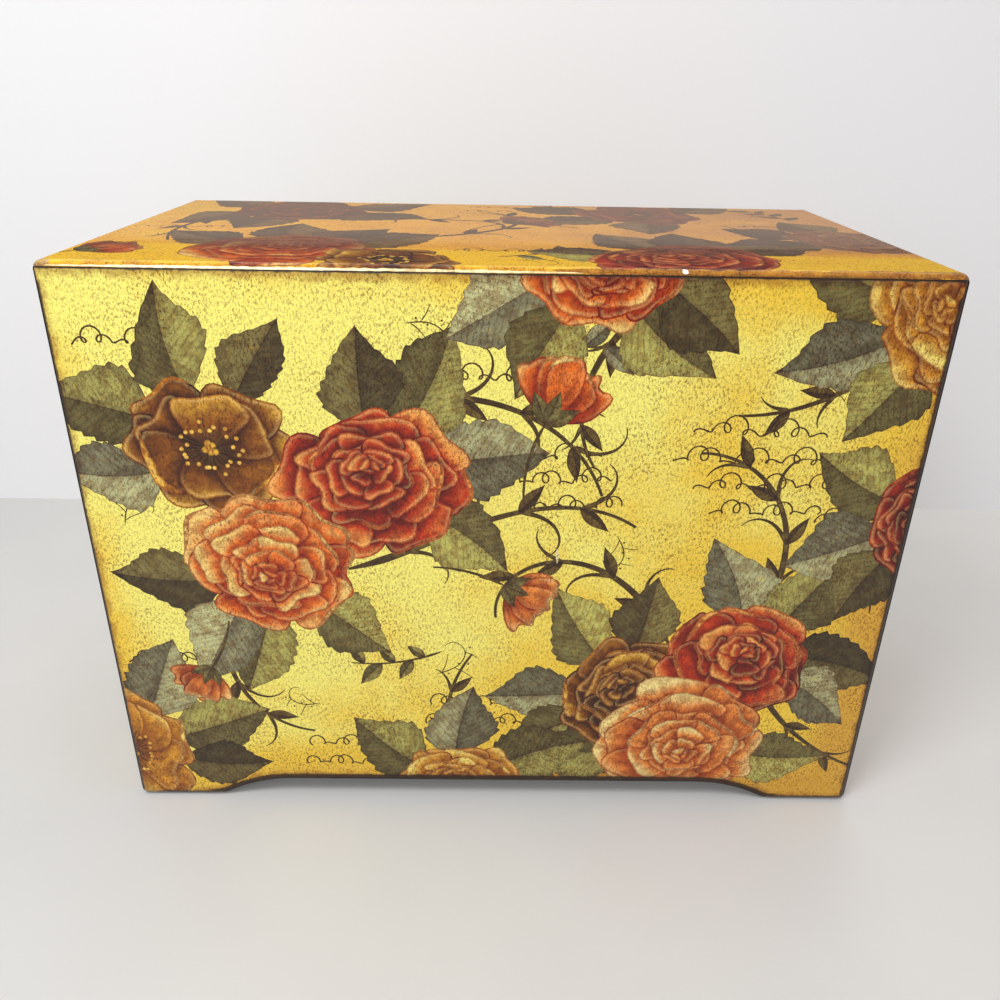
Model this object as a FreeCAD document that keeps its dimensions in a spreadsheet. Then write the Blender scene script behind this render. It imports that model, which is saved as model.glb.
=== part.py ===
# Small jewellery chest of drawers on a bracket base, in boards covered with printed paper.
# Frame: +X right and +Z up as seen from the plain back, which faces -Y. The drawers open towards +Y.
# Origin: centre of the whole object's footprint, knobs included, on the surface that it stands on.
import FreeCAD
import Part
import math
import os
import Sketcher

# Driving sizes in millimetres. Each is set by itself, and everything else is worked out from them.
SIZES = {
    # the case as it stands, papers included
    "case_width": 280.0,
    "case_depth": 154.0,
    "case_height": 207.0,
    "edge_round": 3.0,
    # boards and papers
    "board": 7.0,
    "paper": 0.3,
    "floor_low": 20.0,
    "floor_thick": 5.0,
    "shelf_thick": 4.0,
    "apron_thick": 7.0,
    "housing": 2.5,
    # the bracket base: flat feet, and a low arch that eases into them
    "foot_length": 29.0,
    "arch_high": 9.0,
    "arch_round": 54.0,
    "toe_round": 8.0,
    # where the papers stop short of each other and of the feet
    "sheet_wrap": 1.7,
    "sheet_joint": 0.4,
    "edge_strip": 0.2,
    "sheet_lift": 1.3,
    # drawers
    "front_setback": 0.5,
    "front_thick": 8.0,
    "front_chamfer": 0.6,
    "front_bare": 0.8,
    "drawer_gap": 0.8,
    "run_gap": 0.3,
    "stop_gap": 0.3,
    "side_thick": 5.0,
    "side_headroom": 8.0,
    "rear_thick": 5.0,
    "panel_thick": 3.0,
    "panel_up": 2.5,
    "groove": 2.5,
    "lap": 4.0,
    # felt, ring rolls and partitions
    "felt_thick": 1.5,
    "felt_gap": 0.3,
    "roll_base": 7.0,
    "roll_rise": 5.2,
    "ring_width": 150.0,
    "partition_thick": 3.0,
    "partition_high": 30.0,
    # knobs and their screws
    "rose_radius": 7.5,
    "rose_thick": 1.6,
    "neck_radius": 3.6,
    "neck_end": 7.0,
    "head_radius": 8.5,
    "head_low": 9.5,
    "knob_length": 15.0,
    "screw_radius": 1.6,
    "screw_grip": 6.0,
    "screw_relief": 0.5,
    "screw_head_radius": 3.5,
    "screw_head_thick": 2.0,
    "hole_clearance": 0.2,
}
DRAWERS = ["bottom", "middle", "top"]
ROLLS = 10
DOME_BANDS = 3


class Size:
    """A length as a number, with the sheet formula that gives it."""

    def __init__(self, value, formula):
        self.value = value
        self.formula = formula

    def joined(self, other, sign, value):
        formula = other.formula if isinstance(other, Size) else repr(other)
        return Size(value, "(" + self.formula + " " + sign + " " + formula + ")")

    def __add__(self, other):
        return self.joined(other, "+", self.value + number(other))

    def __sub__(self, other):
        return self.joined(other, "-", self.value - number(other))

    def __mul__(self, other):
        return self.joined(other, "*", self.value * number(other))

    def __truediv__(self, other):
        return self.joined(other, "/", self.value / number(other))


def number(size):
    return size.value if isinstance(size, Size) else size


def root(size):
    return Size(math.sqrt(size.value), "sqrt(" + size.formula + ")")


doc = FreeCAD.newDocument("jewellery_chest")
sheet = doc.addObject("Spreadsheet::Sheet", "sizes")


def fill_sheet():
    for row, (alias, value) in enumerate(SIZES.items(), start=1):
        sheet.set("A" + str(row), alias)
        sheet.set("B" + str(row), str(value))
        sheet.setAlias("B" + str(row), alias)
    doc.recompute()


def size(alias):
    return Size(float(sheet.get(alias)), "sizes." + alias)


fill_sheet()
NONE = Size(0.0, "0")
UP = FreeCAD.Vector(0, 0, 1)

case_width = size("case_width")
case_depth = size("case_depth")
case_height = size("case_height")
edge_round = size("edge_round")
board = size("board")
paper = size("paper")
floor_low = size("floor_low")
floor_thick = size("floor_thick")
shelf_thick = size("shelf_thick")
apron_thick = size("apron_thick")
housing = size("housing")
foot_length = size("foot_length")
arch_high = size("arch_high")
arch_round = size("arch_round")
toe_round = size("toe_round")
sheet_wrap = size("sheet_wrap")
sheet_joint = size("sheet_joint")
edge_strip = size("edge_strip")
sheet_lift = size("sheet_lift")
front_setback = size("front_setback")
front_thick = size("front_thick")
front_chamfer = size("front_chamfer")
front_bare = size("front_bare")
drawer_gap = size("drawer_gap")
run_gap = size("run_gap")
stop_gap = size("stop_gap")
side_thick = size("side_thick")
side_headroom = size("side_headroom")
rear_thick = size("rear_thick")
panel_thick = size("panel_thick")
panel_up = size("panel_up")
groove = size("groove")
lap = size("lap")
felt_thick = size("felt_thick")
felt_gap = size("felt_gap")
roll_base = size("roll_base")
roll_rise = size("roll_rise")
ring_width = size("ring_width")
partition_thick = size("partition_thick")
partition_high = size("partition_high")
rose_radius = size("rose_radius")
rose_thick = size("rose_thick")
neck_radius = size("neck_radius")
neck_end = size("neck_end")
head_radius = size("head_radius")
head_low = size("head_low")
knob_length = size("knob_length")
screw_radius = size("screw_radius")
screw_grip = size("screw_grip")
screw_relief = size("screw_relief")
screw_head_radius = size("screw_head_radius")
screw_head_thick = size("screw_head_thick")
hole_clearance = size("hole_clearance")

# Places inside the case, measured from its outer left, back and lower corner.
wall = paper + board
inner_width = case_width - wall * 2
top_low = case_height - wall
floor_top = floor_low + floor_thick
opening_high = (top_low - floor_top - shelf_thick * 2) / 3
front_edge = case_depth - paper
face = front_edge - front_setback
front_outside = face - paper
front_inside = front_outside - front_thick

# Places inside a drawer, the same for all three.
drawer_left = wall + drawer_gap
drawer_width = inner_width - drawer_gap * 2
drawer_back = wall + stop_gap
side_high = opening_high - run_gap - side_headroom
bay_left = drawer_left + side_thick
bay_width = drawer_width - side_thick * 2
bay_back = drawer_back + rear_thick
bay_depth = front_inside - bay_back
panel_low = run_gap + panel_up
panel_top = panel_low + panel_thick
felt_top = panel_top + felt_thick

# The case stands with its footprint, knobs included, centred on the origin.
shift_x = case_width * -0.5
shift_y = (face + knob_length) * -0.5

parts = []
cuts = []


def place(thing, x, y, z):
    thing.setExpression("Placement.Base.x", (x + shift_x).formula)
    thing.setExpression("Placement.Base.y", (y + shift_y).formula)
    thing.setExpression("Placement.Base.z", z.formula)


def keep(thing, node):
    thing.Label = node
    parts.append(thing)
    return thing


def new_body(name):
    return doc.addObject("PartDesign::Body", name)


def new_sketch(body, name, role):
    sketch = body.newObject("Sketcher::SketchObject", name)
    plane = [f for f in body.Origin.OriginFeatures if f.Role == role][0]
    sketch.AttachmentSupport = (plane, [""])
    sketch.MapMode = "FlatFace"
    return sketch


def dimension(sketch, constraint, length):
    index = sketch.addConstraint(constraint)
    sketch.setExpression("Constraints[" + str(index) + "]", length.formula)


def place_point(sketch, line, end, u, v):
    """Holds one end of a line at (u, v), on an axis where u or v is nothing."""
    if u is NONE:
        sketch.addConstraint(Sketcher.Constraint("PointOnObject", line, end, -2))
    else:
        dimension(sketch, Sketcher.Constraint("DistanceX", -1, 1, line, end, u.value), u)
    if v is NONE:
        sketch.addConstraint(Sketcher.Constraint("PointOnObject", line, end, -1))
    else:
        dimension(sketch, Sketcher.Constraint("DistanceY", -1, 1, line, end, v.value), v)


def vector(u, v):
    return FreeCAD.Vector(number(u), number(v), 0)


def chain(sketch, points):
    """An open run of straight lines through the points. The start of each is held by its own two sizes."""
    first = sketch.GeometryCount
    for start, end in zip(points, points[1:]):
        sketch.addGeometry(Part.LineSegment(vector(*start), vector(*end)), False)
    last = sketch.GeometryCount - 1
    for i in range(first, last):
        sketch.addConstraint(Sketcher.Constraint("Coincident", i, 2, i + 1, 1))
    for i, (u, v) in enumerate(points[:-1]):
        place_point(sketch, first + i, 1, u, v)
    return first, last


def polygon(sketch, points):
    first, last = chain(sketch, points + points[:1])
    sketch.addConstraint(Sketcher.Constraint("Coincident", last, 2, first, 1))


def rectangle(sketch, u, v, wide, high):
    """A rectangle from (u, v), held level, with its width and height."""
    first = sketch.GeometryCount
    right = u + wide
    top = v + high
    corners = [vector(u, v), vector(right, v), vector(right, top), vector(u, top)]
    for i in range(4):
        sketch.addGeometry(Part.LineSegment(corners[i], corners[(i + 1) % 4]), False)
    for i in range(4):
        sketch.addConstraint(
            Sketcher.Constraint("Coincident", first + i, 2, first + (i + 1) % 4, 1)
        )
    for i in (0, 2):
        sketch.addConstraint(Sketcher.Constraint("Horizontal", first + i))
    for i in (1, 3):
        sketch.addConstraint(Sketcher.Constraint("Vertical", first + i))
    place_point(sketch, first, 1, u, v)
    dimension(
        sketch,
        Sketcher.Constraint("DistanceX", first, 1, first, 2, wide.value),
        wide,
    )
    dimension(
        sketch,
        Sketcher.Constraint("DistanceY", first + 1, 1, first + 1, 2, high.value),
        high,
    )


def circle(sketch, u, v, radius):
    ring = sketch.addGeometry(Part.Circle(vector(u, v), UP, radius.value), False)
    place_point(sketch, ring, 3, u, v)
    dimension(sketch, Sketcher.Constraint("Radius", ring, radius.value), radius)


def arched_outline(sketch, length, height, near_foot, far_foot):
    """A board on edge from the sketch's origin, its lower edge cut to two feet with an arch between.

    Each foot is flat, turns up on a small arc and runs into a wide arc that ends level under the arch.
    """
    reach = arch_round + toe_round
    run = root(reach * reach - (reach - arch_high) * (reach - arch_high))
    turn = math.asin(run.value / reach.value)
    near_toe = vector(near_foot, toe_round)
    far_toe = vector(length - far_foot, toe_round)
    near_hub = vector(near_foot + run, arch_high - arch_round)
    far_hub = vector(length - far_foot - run, arch_high - arch_round)
    quarter = math.pi / 2
    pieces = [
        Part.LineSegment(vector(0, 0), vector(near_foot, 0)),
        Part.ArcOfCircle(
            Part.Circle(near_toe, UP, toe_round.value), -quarter, turn - quarter
        ),
        Part.ArcOfCircle(
            Part.Circle(near_hub, UP, arch_round.value), quarter, quarter + turn
        ),
        Part.LineSegment(
            vector(near_foot + run, arch_high), vector(length - far_foot - run, arch_high)
        ),
        Part.ArcOfCircle(
            Part.Circle(far_hub, UP, arch_round.value), quarter - turn, quarter
        ),
        Part.ArcOfCircle(
            Part.Circle(far_toe, UP, toe_round.value), -quarter - turn, -quarter
        ),
        Part.LineSegment(vector(length - far_foot, 0), vector(length, 0)),
        Part.LineSegment(vector(length, 0), vector(length, height)),
        Part.LineSegment(vector(length, height), vector(0, height)),
        Part.LineSegment(vector(0, height), vector(0, 0)),
    ]
    sketch.addGeometry(pieces, False)
    foot, toe, rise, level, fall, far_arc, far_flat, far_side, top, side = range(10)
    joints = [
        Sketcher.Constraint("Tangent", foot, 2, toe, 1),
        Sketcher.Constraint("Tangent", toe, 2, rise, 2),
        Sketcher.Constraint("Tangent", rise, 1, level, 1),
        Sketcher.Constraint("Tangent", level, 2, fall, 2),
        Sketcher.Constraint("Tangent", fall, 1, far_arc, 1),
        Sketcher.Constraint("Tangent", far_arc, 2, far_flat, 1),
        Sketcher.Constraint("Coincident", far_flat, 2, far_side, 1),
        Sketcher.Constraint("Coincident", far_side, 2, top, 1),
        Sketcher.Constraint("Coincident", top, 2, side, 1),
        Sketcher.Constraint("Coincident", side, 2, foot, 1),
        Sketcher.Constraint("Coincident", foot, 1, -1, 1),
        Sketcher.Constraint("Horizontal", foot),
        Sketcher.Constraint("Horizontal", level),
        Sketcher.Constraint("PointOnObject", far_flat, 1, -1),
        Sketcher.Constraint("PointOnObject", far_flat, 2, -1),
        Sketcher.Constraint("Vertical", far_side),
        Sketcher.Constraint("Horizontal", top),
        Sketcher.Constraint("Vertical", side),
    ]
    for joint in joints:
        sketch.addConstraint(joint)
    held = [
        (Sketcher.Constraint("DistanceX", foot, 1, foot, 2, near_foot.value), near_foot),
        (Sketcher.Constraint("DistanceX", far_flat, 1, far_flat, 2, far_foot.value), far_foot),
        (Sketcher.Constraint("DistanceX", -1, 1, far_side, 1, length.value), length),
        (Sketcher.Constraint("DistanceY", far_side, 1, far_side, 2, height.value), height),
        (Sketcher.Constraint("DistanceY", -1, 1, level, 1, arch_high.value), arch_high),
        (Sketcher.Constraint("Radius", toe, toe_round.value), toe_round),
        (Sketcher.Constraint("Radius", far_arc, toe_round.value), toe_round),
        (Sketcher.Constraint("Radius", rise, arch_round.value), arch_round),
        (Sketcher.Constraint("Radius", fall, arch_round.value), arch_round),
    ]
    for constraint, length_held in held:
        dimension(sketch, constraint, length_held)


def pad(body, sketch, length, turned=False):
    feature = body.newObject("PartDesign::Pad", body.Name + "_pad")
    feature.Profile = sketch
    feature.Reversed = turned
    feature.setExpression("Length", length.formula)
    sketch.Visibility = False
    return feature


def turn_about_y(body, sketch):
    feature = body.newObject("PartDesign::Revolution", body.Name + "_turning")
    feature.Profile = sketch
    feature.ReferenceAxis = (sketch, ["V_Axis"])
    feature.Angle = 360
    return feature


def pocket_through(body, sketch):
    """Cuts the sketch through the whole body, both ways from its plane."""
    before = body.Tip
    feature = body.newObject("PartDesign::Pocket", sketch.Name + "_cut")
    feature.Profile = sketch
    feature.Type = "ThroughAll"
    feature.SideType = "Symmetric"
    cuts.append((before, feature))
    return feature


def pocket_up(body, sketch, length):
    """Cuts the sketch from its plane into the solid above it."""
    before = body.Tip
    feature = body.newObject("PartDesign::Pocket", sketch.Name + "_cut")
    feature.Profile = sketch
    feature.Reversed = True
    feature.setExpression("Length", length.formula)
    cuts.append((before, feature))
    return feature


def slab(name, x, y, z, wide, deep, high):
    """A flat board: its plan padded upward."""
    body = new_body(name)
    plan = new_sketch(body, name + "_plan", "XY_Plane")
    rectangle(plan, NONE, NONE, wide, deep)
    pad(body, plan, high)
    place(body, x, y, z)
    return body


def rounded_form(name, inset, low, radius):
    """The case's whole form, drawn in by inset at the sides and the top, with all its edges rounded over."""
    body = slab(
        name, inset, inset, low,
        case_width - inset * 2, case_depth - inset * 2, case_height - inset - low,
    )
    doc.recompute()
    block = body.Tip
    rounding = body.newObject("PartDesign::Fillet", name + "_rounding")
    rounding.Base = (block, [""])
    rounding.UseAllEdges = True
    rounding.setExpression("Radius", radius.formula)
    return body


def arched_body(name, role, x, y, z, length, height, near_foot, far_foot, thick):
    """A board or a cutting form on edge with the arched foot, along X on XZ_Plane or along Y on YZ_Plane."""
    body = new_body(name)
    outline = new_sketch(body, name + "_outline", role)
    arched_outline(outline, length, height, near_foot, far_foot)
    pad(body, outline, thick, turned=(role == "XZ_Plane"))
    place(body, x, y, z)
    return body


def common(node, form, cutter):
    """What the form and the cutter share, kept as a part."""
    shared = doc.addObject("Part::Common", node)
    shared.Base = form
    shared.Tool = cutter
    return keep(shared, node)


def side_board(node, x, groove_from):
    """A side with the arch, housed on its inner face for the floor and the two shelves."""
    body = arched_body(
        node + "_blank",
        "YZ_Plane",
        x,
        wall,
        NONE,
        front_edge - wall,
        top_low,
        foot_length - wall,
        foot_length - paper,
        board,
    )
    marks = new_sketch(body, node + "_housings", "XZ_Plane")
    rectangle(marks, groove_from, floor_low, housing, floor_thick)
    for k in (1, 2):
        rectangle(marks, groove_from, shelf_low(k), housing, shelf_thick)
    pocket_through(body, marks)
    return common(node, board_form, body)


def drawer_low(k):
    """The surface that drawer k runs on, counted from the bottom drawer."""
    return floor_top + (opening_high + shelf_thick) * k


def shelf_low(k):
    return drawer_low(k) - shelf_thick


def case_boards():
    common("top_board", board_form, slab(
        "top_board_blank", NONE, NONE, top_low, case_width, case_depth, board,
    ))
    foot = foot_length - paper
    common("back_board", board_form, arched_body(
        "back_board_blank", "XZ_Plane", paper, paper, NONE,
        case_width - paper * 2, top_low, foot, foot, board,
    ))
    side_board("left_board", paper, board - housing)
    side_board("right_board", case_width - wall, NONE)
    apron_foot = foot_length - wall
    keep(arched_body(
        "apron", "XZ_Plane", wall, front_outside - apron_thick, NONE,
        inner_width, floor_low, apron_foot, apron_foot, apron_thick,
    ), "apron_board")
    levels = [("floor_board", floor_low, floor_thick)]
    levels.append(("lower_shelf", shelf_low(1), shelf_thick))
    levels.append(("upper_shelf", shelf_low(2), shelf_thick))
    for node, low, thick in levels:
        keep(slab(
            node + "_body", wall - housing, wall, low,
            inner_width + housing * 2, front_edge - wall, thick,
        ), node)


def case_sheets():
    """Papers over the rounded boards: each stops just short of the next on the rounding between them."""
    shell = doc.addObject("Part::Cut", "paper_shell")
    shell.Base = paper_form
    shell.Tool = board_form
    margin = edge_round - (edge_round - paper) * math.sqrt(0.5) + edge_strip
    foot = foot_length - margin
    sheet_high = case_height - sheet_wrap - sheet_joint - sheet_lift
    common("top_sheet", shell, slab(
        "top_sheet_reach", NONE, NONE, case_height - sheet_wrap,
        case_width, case_depth, sheet_wrap + paper,
    ))
    common("back_sheet", shell, arched_body(
        "back_sheet_reach", "XZ_Plane", margin, NONE, sheet_lift,
        case_width - margin * 2, sheet_high, foot, foot, edge_round,
    ))
    for node, x in (("left_sheet", NONE), ("right_sheet", case_width - edge_round)):
        common(node, shell, arched_body(
            node + "_reach", "YZ_Plane", x, margin, sheet_lift,
            case_depth - margin * 2, sheet_high, foot, foot, edge_round,
        ))
    apron_foot = foot_length - wall - front_bare
    keep(arched_body(
        "apron_sheet_body", "XZ_Plane", wall + front_bare, front_outside, sheet_lift,
        inner_width - front_bare * 2, floor_low - sheet_lift - front_bare,
        apron_foot, apron_foot, paper,
    ), "apron_sheet")


def drawer_front(name, low):
    """A board with a stopped rabbet at each end for the sides, a groove for the panel and a screw hole."""
    high = opening_high - drawer_gap * 2
    body = slab(
        name + "_front_body", drawer_left, front_inside, low + drawer_gap,
        drawer_width, front_thick, high,
    )
    doc.recompute()
    blank = body.Tip
    outer = [
        "Edge" + str(i)
        for i, edge in enumerate(blank.Shape.Edges, start=1)
        if all(abs(v.Y - front_thick.value) < 1e-6 for v in edge.Vertexes)
    ]
    easing = body.newObject("PartDesign::Chamfer", name + "_front_easing")
    easing.Base = (blank, outer)
    easing.setExpression("Size", front_chamfer.formula)
    rabbets = new_sketch(body, name + "_rabbets", "XY_Plane")
    rectangle(rabbets, NONE, NONE, side_thick, lap)
    rectangle(rabbets, drawer_width - side_thick, NONE, side_thick, lap)
    pocket_up(body, rabbets, run_gap + side_high - drawer_gap)
    slot = new_sketch(body, name + "_front_groove", "YZ_Plane")
    rectangle(slot, NONE, panel_low - drawer_gap, groove, panel_thick)
    pocket_through(body, slot)
    hole = new_sketch(body, name + "_front_hole", "XZ_Plane")
    circle(hole, drawer_width / 2, high / 2, screw_radius + hole_clearance)
    pocket_through(body, hole)
    return keep(body, name + "_front")


def front_sheet(name, low):
    """Printed paper on a drawer's front, a little inside its edges, holed for the screw."""
    body = new_body(name + "_front_sheet_body")
    outline = new_sketch(body, name + "_front_sheet_outline", "XZ_Plane")
    wide = drawer_width - front_bare * 2
    high = opening_high - drawer_gap * 2 - front_bare * 2
    rectangle(outline, NONE, NONE, wide, high)
    circle(outline, wide / 2, high / 2, screw_radius + hole_clearance)
    pad(body, outline, paper, turned=True)
    place(body, drawer_left + front_bare, front_outside, low + drawer_gap + front_bare)
    return keep(body, name + "_front_sheet")


def drawer_side(name, hand, x, low, groove_from):
    """A side, lapped into the front and grooved for the panel."""
    body = slab(
        name + "_" + hand + "_body", x, drawer_back, low + run_gap,
        side_thick, front_inside + lap - drawer_back, side_high,
    )
    slot = new_sketch(body, name + "_" + hand + "_groove", "XZ_Plane")
    rectangle(slot, groove_from, panel_up, groove, panel_thick)
    pocket_through(body, slot)
    return keep(body, name + "_" + hand + "_side")


def knob(name, low):
    """A turned knob with a rose at its foot and a domed head, drilled blind for its screw."""
    body = new_body(name + "_knob_body")
    profile = new_sketch(body, name + "_knob_profile", "XY_Plane")
    rise = knob_length - head_low
    dome = []
    for step in range(1, DOME_BANDS):
        angle = math.pi / 2 * step / DOME_BANDS
        dome.append((head_radius * math.cos(angle), head_low + rise * math.sin(angle)))
    polygon(profile, [
        (screw_radius, NONE),
        (rose_radius, NONE),
        (rose_radius, rose_thick),
        (neck_radius, rose_thick),
        (neck_radius, neck_end),
        (head_radius, head_low),
    ] + dome + [
        (NONE, knob_length),
        (NONE, screw_grip),
        (screw_radius, screw_grip),
    ])
    turn_about_y(body, profile)
    place(body, case_width / 2, face, low + opening_high / 2)
    return keep(body, name + "_knob")


def knob_screw(name, low):
    """The screw that holds the knob from inside the drawer."""
    body = new_body(name + "_knob_screw_body")
    profile = new_sketch(body, name + "_knob_screw_profile", "XY_Plane")
    under_head = screw_head_thick
    tip = under_head + front_thick + paper + screw_grip - screw_relief
    polygon(profile, [
        (NONE, NONE),
        (screw_head_radius, NONE),
        (screw_head_radius, under_head),
        (screw_radius, under_head),
        (screw_radius, tip),
        (NONE, tip),
    ])
    turn_about_y(body, profile)
    place(body, case_width / 2, front_inside - screw_head_thick, low + opening_high / 2)
    return keep(body, name + "_knob_screw")


def drawer(k):
    name = DRAWERS[k] + "_drawer"
    low = drawer_low(k)
    drawer_front(name, low)
    front_sheet(name, low)
    drawer_side(name, "left", drawer_left, low, side_thick - groove)
    drawer_side(name, "right", drawer_left + drawer_width - side_thick, low, NONE)
    keep(slab(
        name + "_rear_body", bay_left, drawer_back, low + panel_top,
        bay_width, rear_thick, side_high + run_gap - panel_top,
    ), name + "_back")
    keep(slab(
        name + "_panel_body", bay_left - groove, drawer_back, low + panel_low,
        bay_width + groove * 2, front_inside + groove - drawer_back, panel_thick,
    ), name + "_bottom")
    keep(slab(
        name + "_felt_body", bay_left + felt_gap, bay_back + felt_gap, low + panel_top,
        bay_width - felt_gap * 2, bay_depth - felt_gap * 2, felt_thick,
    ), name + "_lining")
    knob(name, low)
    knob_screw(name, low)


def ring_rolls(low):
    """Padded rolls side by side across the top drawer, on one base, with a slot between each pair."""
    body = new_body("ring_rolls_body")
    profile = new_sketch(body, "ring_rolls_profile", "YZ_Plane")
    depth = bay_depth - felt_gap * 2
    pitch = depth / ROLLS
    roll_round = (pitch * pitch / 4 + roll_rise * roll_rise) / (roll_rise * 2)
    half = math.asin(pitch.value / 2 / roll_round.value)
    quarter = math.pi / 2
    for i in range(ROLLS):
        hub = vector(pitch * (i + 0.5), roll_base + roll_rise - roll_round)
        whole = Part.Circle(hub, UP, roll_round.value)
        profile.addGeometry(Part.ArcOfCircle(whole, quarter - half, quarter + half), False)
        dimension(
            profile,
            Sketcher.Constraint("Radius", i, roll_round.value),
            roll_round,
        )
        place_point(profile, i, 1, pitch * (i + 1), roll_base)
    for i in range(ROLLS - 1):
        profile.addConstraint(Sketcher.Constraint("Coincident", i, 1, i + 1, 2))
    place_point(profile, 0, 2, NONE, roll_base)
    edges = [
        (vector(NONE, roll_base), vector(NONE, NONE)),
        (vector(NONE, NONE), vector(depth, NONE)),
        (vector(depth, NONE), vector(depth, roll_base)),
    ]
    for start, end in edges:
        profile.addGeometry(Part.LineSegment(start, end), False)
    joints = [
        Sketcher.Constraint("Coincident", ROLLS, 1, 0, 2),
        Sketcher.Constraint("Coincident", ROLLS, 2, -1, 1),
        Sketcher.Constraint("Coincident", ROLLS + 1, 1, -1, 1),
        Sketcher.Constraint("Coincident", ROLLS + 1, 2, ROLLS + 2, 1),
        Sketcher.Constraint("Horizontal", ROLLS + 1),
        Sketcher.Constraint("Coincident", ROLLS + 2, 2, ROLLS - 1, 1),
        Sketcher.Constraint("Vertical", ROLLS + 2),
    ]
    for joint in joints:
        profile.addConstraint(joint)
    pad(body, profile, ring_width)
    place(body, bay_left + felt_gap, bay_back + felt_gap, low + felt_top)
    return keep(body, "ring_rolls")


def partition_across(node, x, low, notched=False):
    """A thin board from the back of a drawer to its front, notched from above where another crosses."""
    body = slab(
        node + "_body", x, bay_back, low + felt_top,
        partition_thick, bay_depth, partition_high,
    )
    if notched:
        notch = new_sketch(body, node + "_notch", "YZ_Plane")
        rectangle(
            notch, (bay_depth - partition_thick) / 2, partition_high / 2,
            partition_thick, partition_high / 2,
        )
        pocket_through(body, notch)
    return keep(body, node)


def top_drawer_inside():
    low = drawer_low(2)
    ring_rolls(low)
    x = bay_left + felt_gap * 2 + ring_width
    partition_across("ring_partition", x, low)
    start = x + partition_thick
    keep(slab(
        "tray_partition_body", start, bay_back + (bay_depth - partition_thick) / 2,
        low + felt_top, bay_left + bay_width - start, partition_thick, partition_high,
    ), "tray_partition")


def middle_drawer_inside():
    """A long partition notched from below, over two short ones notched from above."""
    low = drawer_low(1)
    third = (bay_width - partition_thick * 2) / 3
    body = slab(
        "long_partition_body", bay_left, bay_back + (bay_depth - partition_thick) / 2,
        low + felt_top, bay_width, partition_thick, partition_high,
    )
    notches = new_sketch(body, "long_partition_notches", "XZ_Plane")
    rectangle(notches, third, NONE, partition_thick, partition_high / 2)
    rectangle(
        notches, third * 2 + partition_thick, NONE, partition_thick, partition_high / 2,
    )
    pocket_through(body, notches)
    keep(body, "long_partition")
    partition_across("left_partition", bay_left + third, low, notched=True)
    right = bay_left + third * 2 + partition_thick
    partition_across("right_partition", right, low, notched=True)


def check_model():
    faults = []
    for thing in doc.Objects:
        if "Invalid" in thing.State or "Error" in thing.State:
            faults.append(thing.Name + " failed")
        if thing.isDerivedFrom("Sketcher::SketchObject") and thing.solve() != 0:
            faults.append(thing.Name + " isn't solved")
    for before, after in cuts:
        if after.Shape.isNull() or after.Shape.Volume > before.Shape.Volume - 1e-3:
            faults.append(after.Name + " cuts nothing")
    for part in parts:
        shape = part.Shape
        if shape.isNull() or not shape.isValid() or len(shape.Solids) != 1:
            faults.append(part.Label + " isn't one sound solid")
    if faults:
        raise RuntimeError("; ".join(faults))


board_form = rounded_form("board_form", paper, NONE, edge_round - paper)
paper_form = rounded_form("paper_form", NONE, paper * -1, edge_round)
case_boards()
case_sheets()
for place_up in range(len(DRAWERS)):
    drawer(place_up)
top_drawer_inside()
middle_drawer_inside()
doc.recompute()
check_model()
os.makedirs("parts", exist_ok=True)
for part in parts:
    part.Shape.exportStep("parts/" + part.Label + ".step")
    print(part.Label, round(part.Shape.Volume, 1))
print(len(parts), "parts")
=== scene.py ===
import math
import random

import bmesh
import bpy
import numpy as np
from mathutils import Matrix, Vector, noise as sea
from mathutils.geometry import delaunay_2d_cdt


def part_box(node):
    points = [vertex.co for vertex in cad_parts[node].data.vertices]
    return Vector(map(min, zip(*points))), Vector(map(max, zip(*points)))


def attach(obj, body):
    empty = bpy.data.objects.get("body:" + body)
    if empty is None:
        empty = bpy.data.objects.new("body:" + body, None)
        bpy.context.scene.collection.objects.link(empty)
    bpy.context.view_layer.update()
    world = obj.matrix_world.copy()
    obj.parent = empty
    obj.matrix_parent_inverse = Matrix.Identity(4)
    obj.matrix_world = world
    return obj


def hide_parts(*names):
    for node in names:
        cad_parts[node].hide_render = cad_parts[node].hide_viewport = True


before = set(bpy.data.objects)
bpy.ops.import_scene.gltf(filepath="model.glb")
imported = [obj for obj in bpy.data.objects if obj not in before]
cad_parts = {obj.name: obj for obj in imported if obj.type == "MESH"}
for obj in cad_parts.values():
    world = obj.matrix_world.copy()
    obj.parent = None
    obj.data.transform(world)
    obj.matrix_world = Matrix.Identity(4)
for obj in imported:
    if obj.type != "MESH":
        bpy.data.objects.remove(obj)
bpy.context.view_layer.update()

MM = 0.001
TAU = math.tau
DRAWERS = ("top_drawer", "middle_drawer", "bottom_drawer")

# Sizes of the case that its pieces don't give by themselves, in millimetres.
EDGE_ROUND = 3.0
PAPER = 0.3
FOOT = 29.0
ARCH_HIGH = 9.0
ARCH_ROUND = 54.0
TOE_ROUND = 8.0
SCREW_HOLE = 1.8
ROLLS = 10
FAR_FLAT = 1000.0


def box_mm(node):
    low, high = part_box(node)
    return low / MM, high / MM


top_low, top_high = box_mm("top_sheet")
case_front = box_mm("back_sheet")[0].y
case_rear = top_high.y + top_low.y - case_front
case_left = box_mm("left_sheet")[0].x
case_right = box_mm("right_sheet")[1].x
case_high = top_high.z
top_wrap = case_high - top_low.z


# Colours and the one way that a node is added

def srgb(text):
    """A colour as it is written for a screen, in the linear values that a shader takes."""
    parts = [int(text[i:i + 2], 16) / 255 for i in (1, 3, 5)]
    return [p / 12.92 if p <= 0.04045 else ((p + 0.055) / 1.055) ** 2.4 for p in parts]


def rgba(text):
    return (*srgb(text), 1.0)


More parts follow.
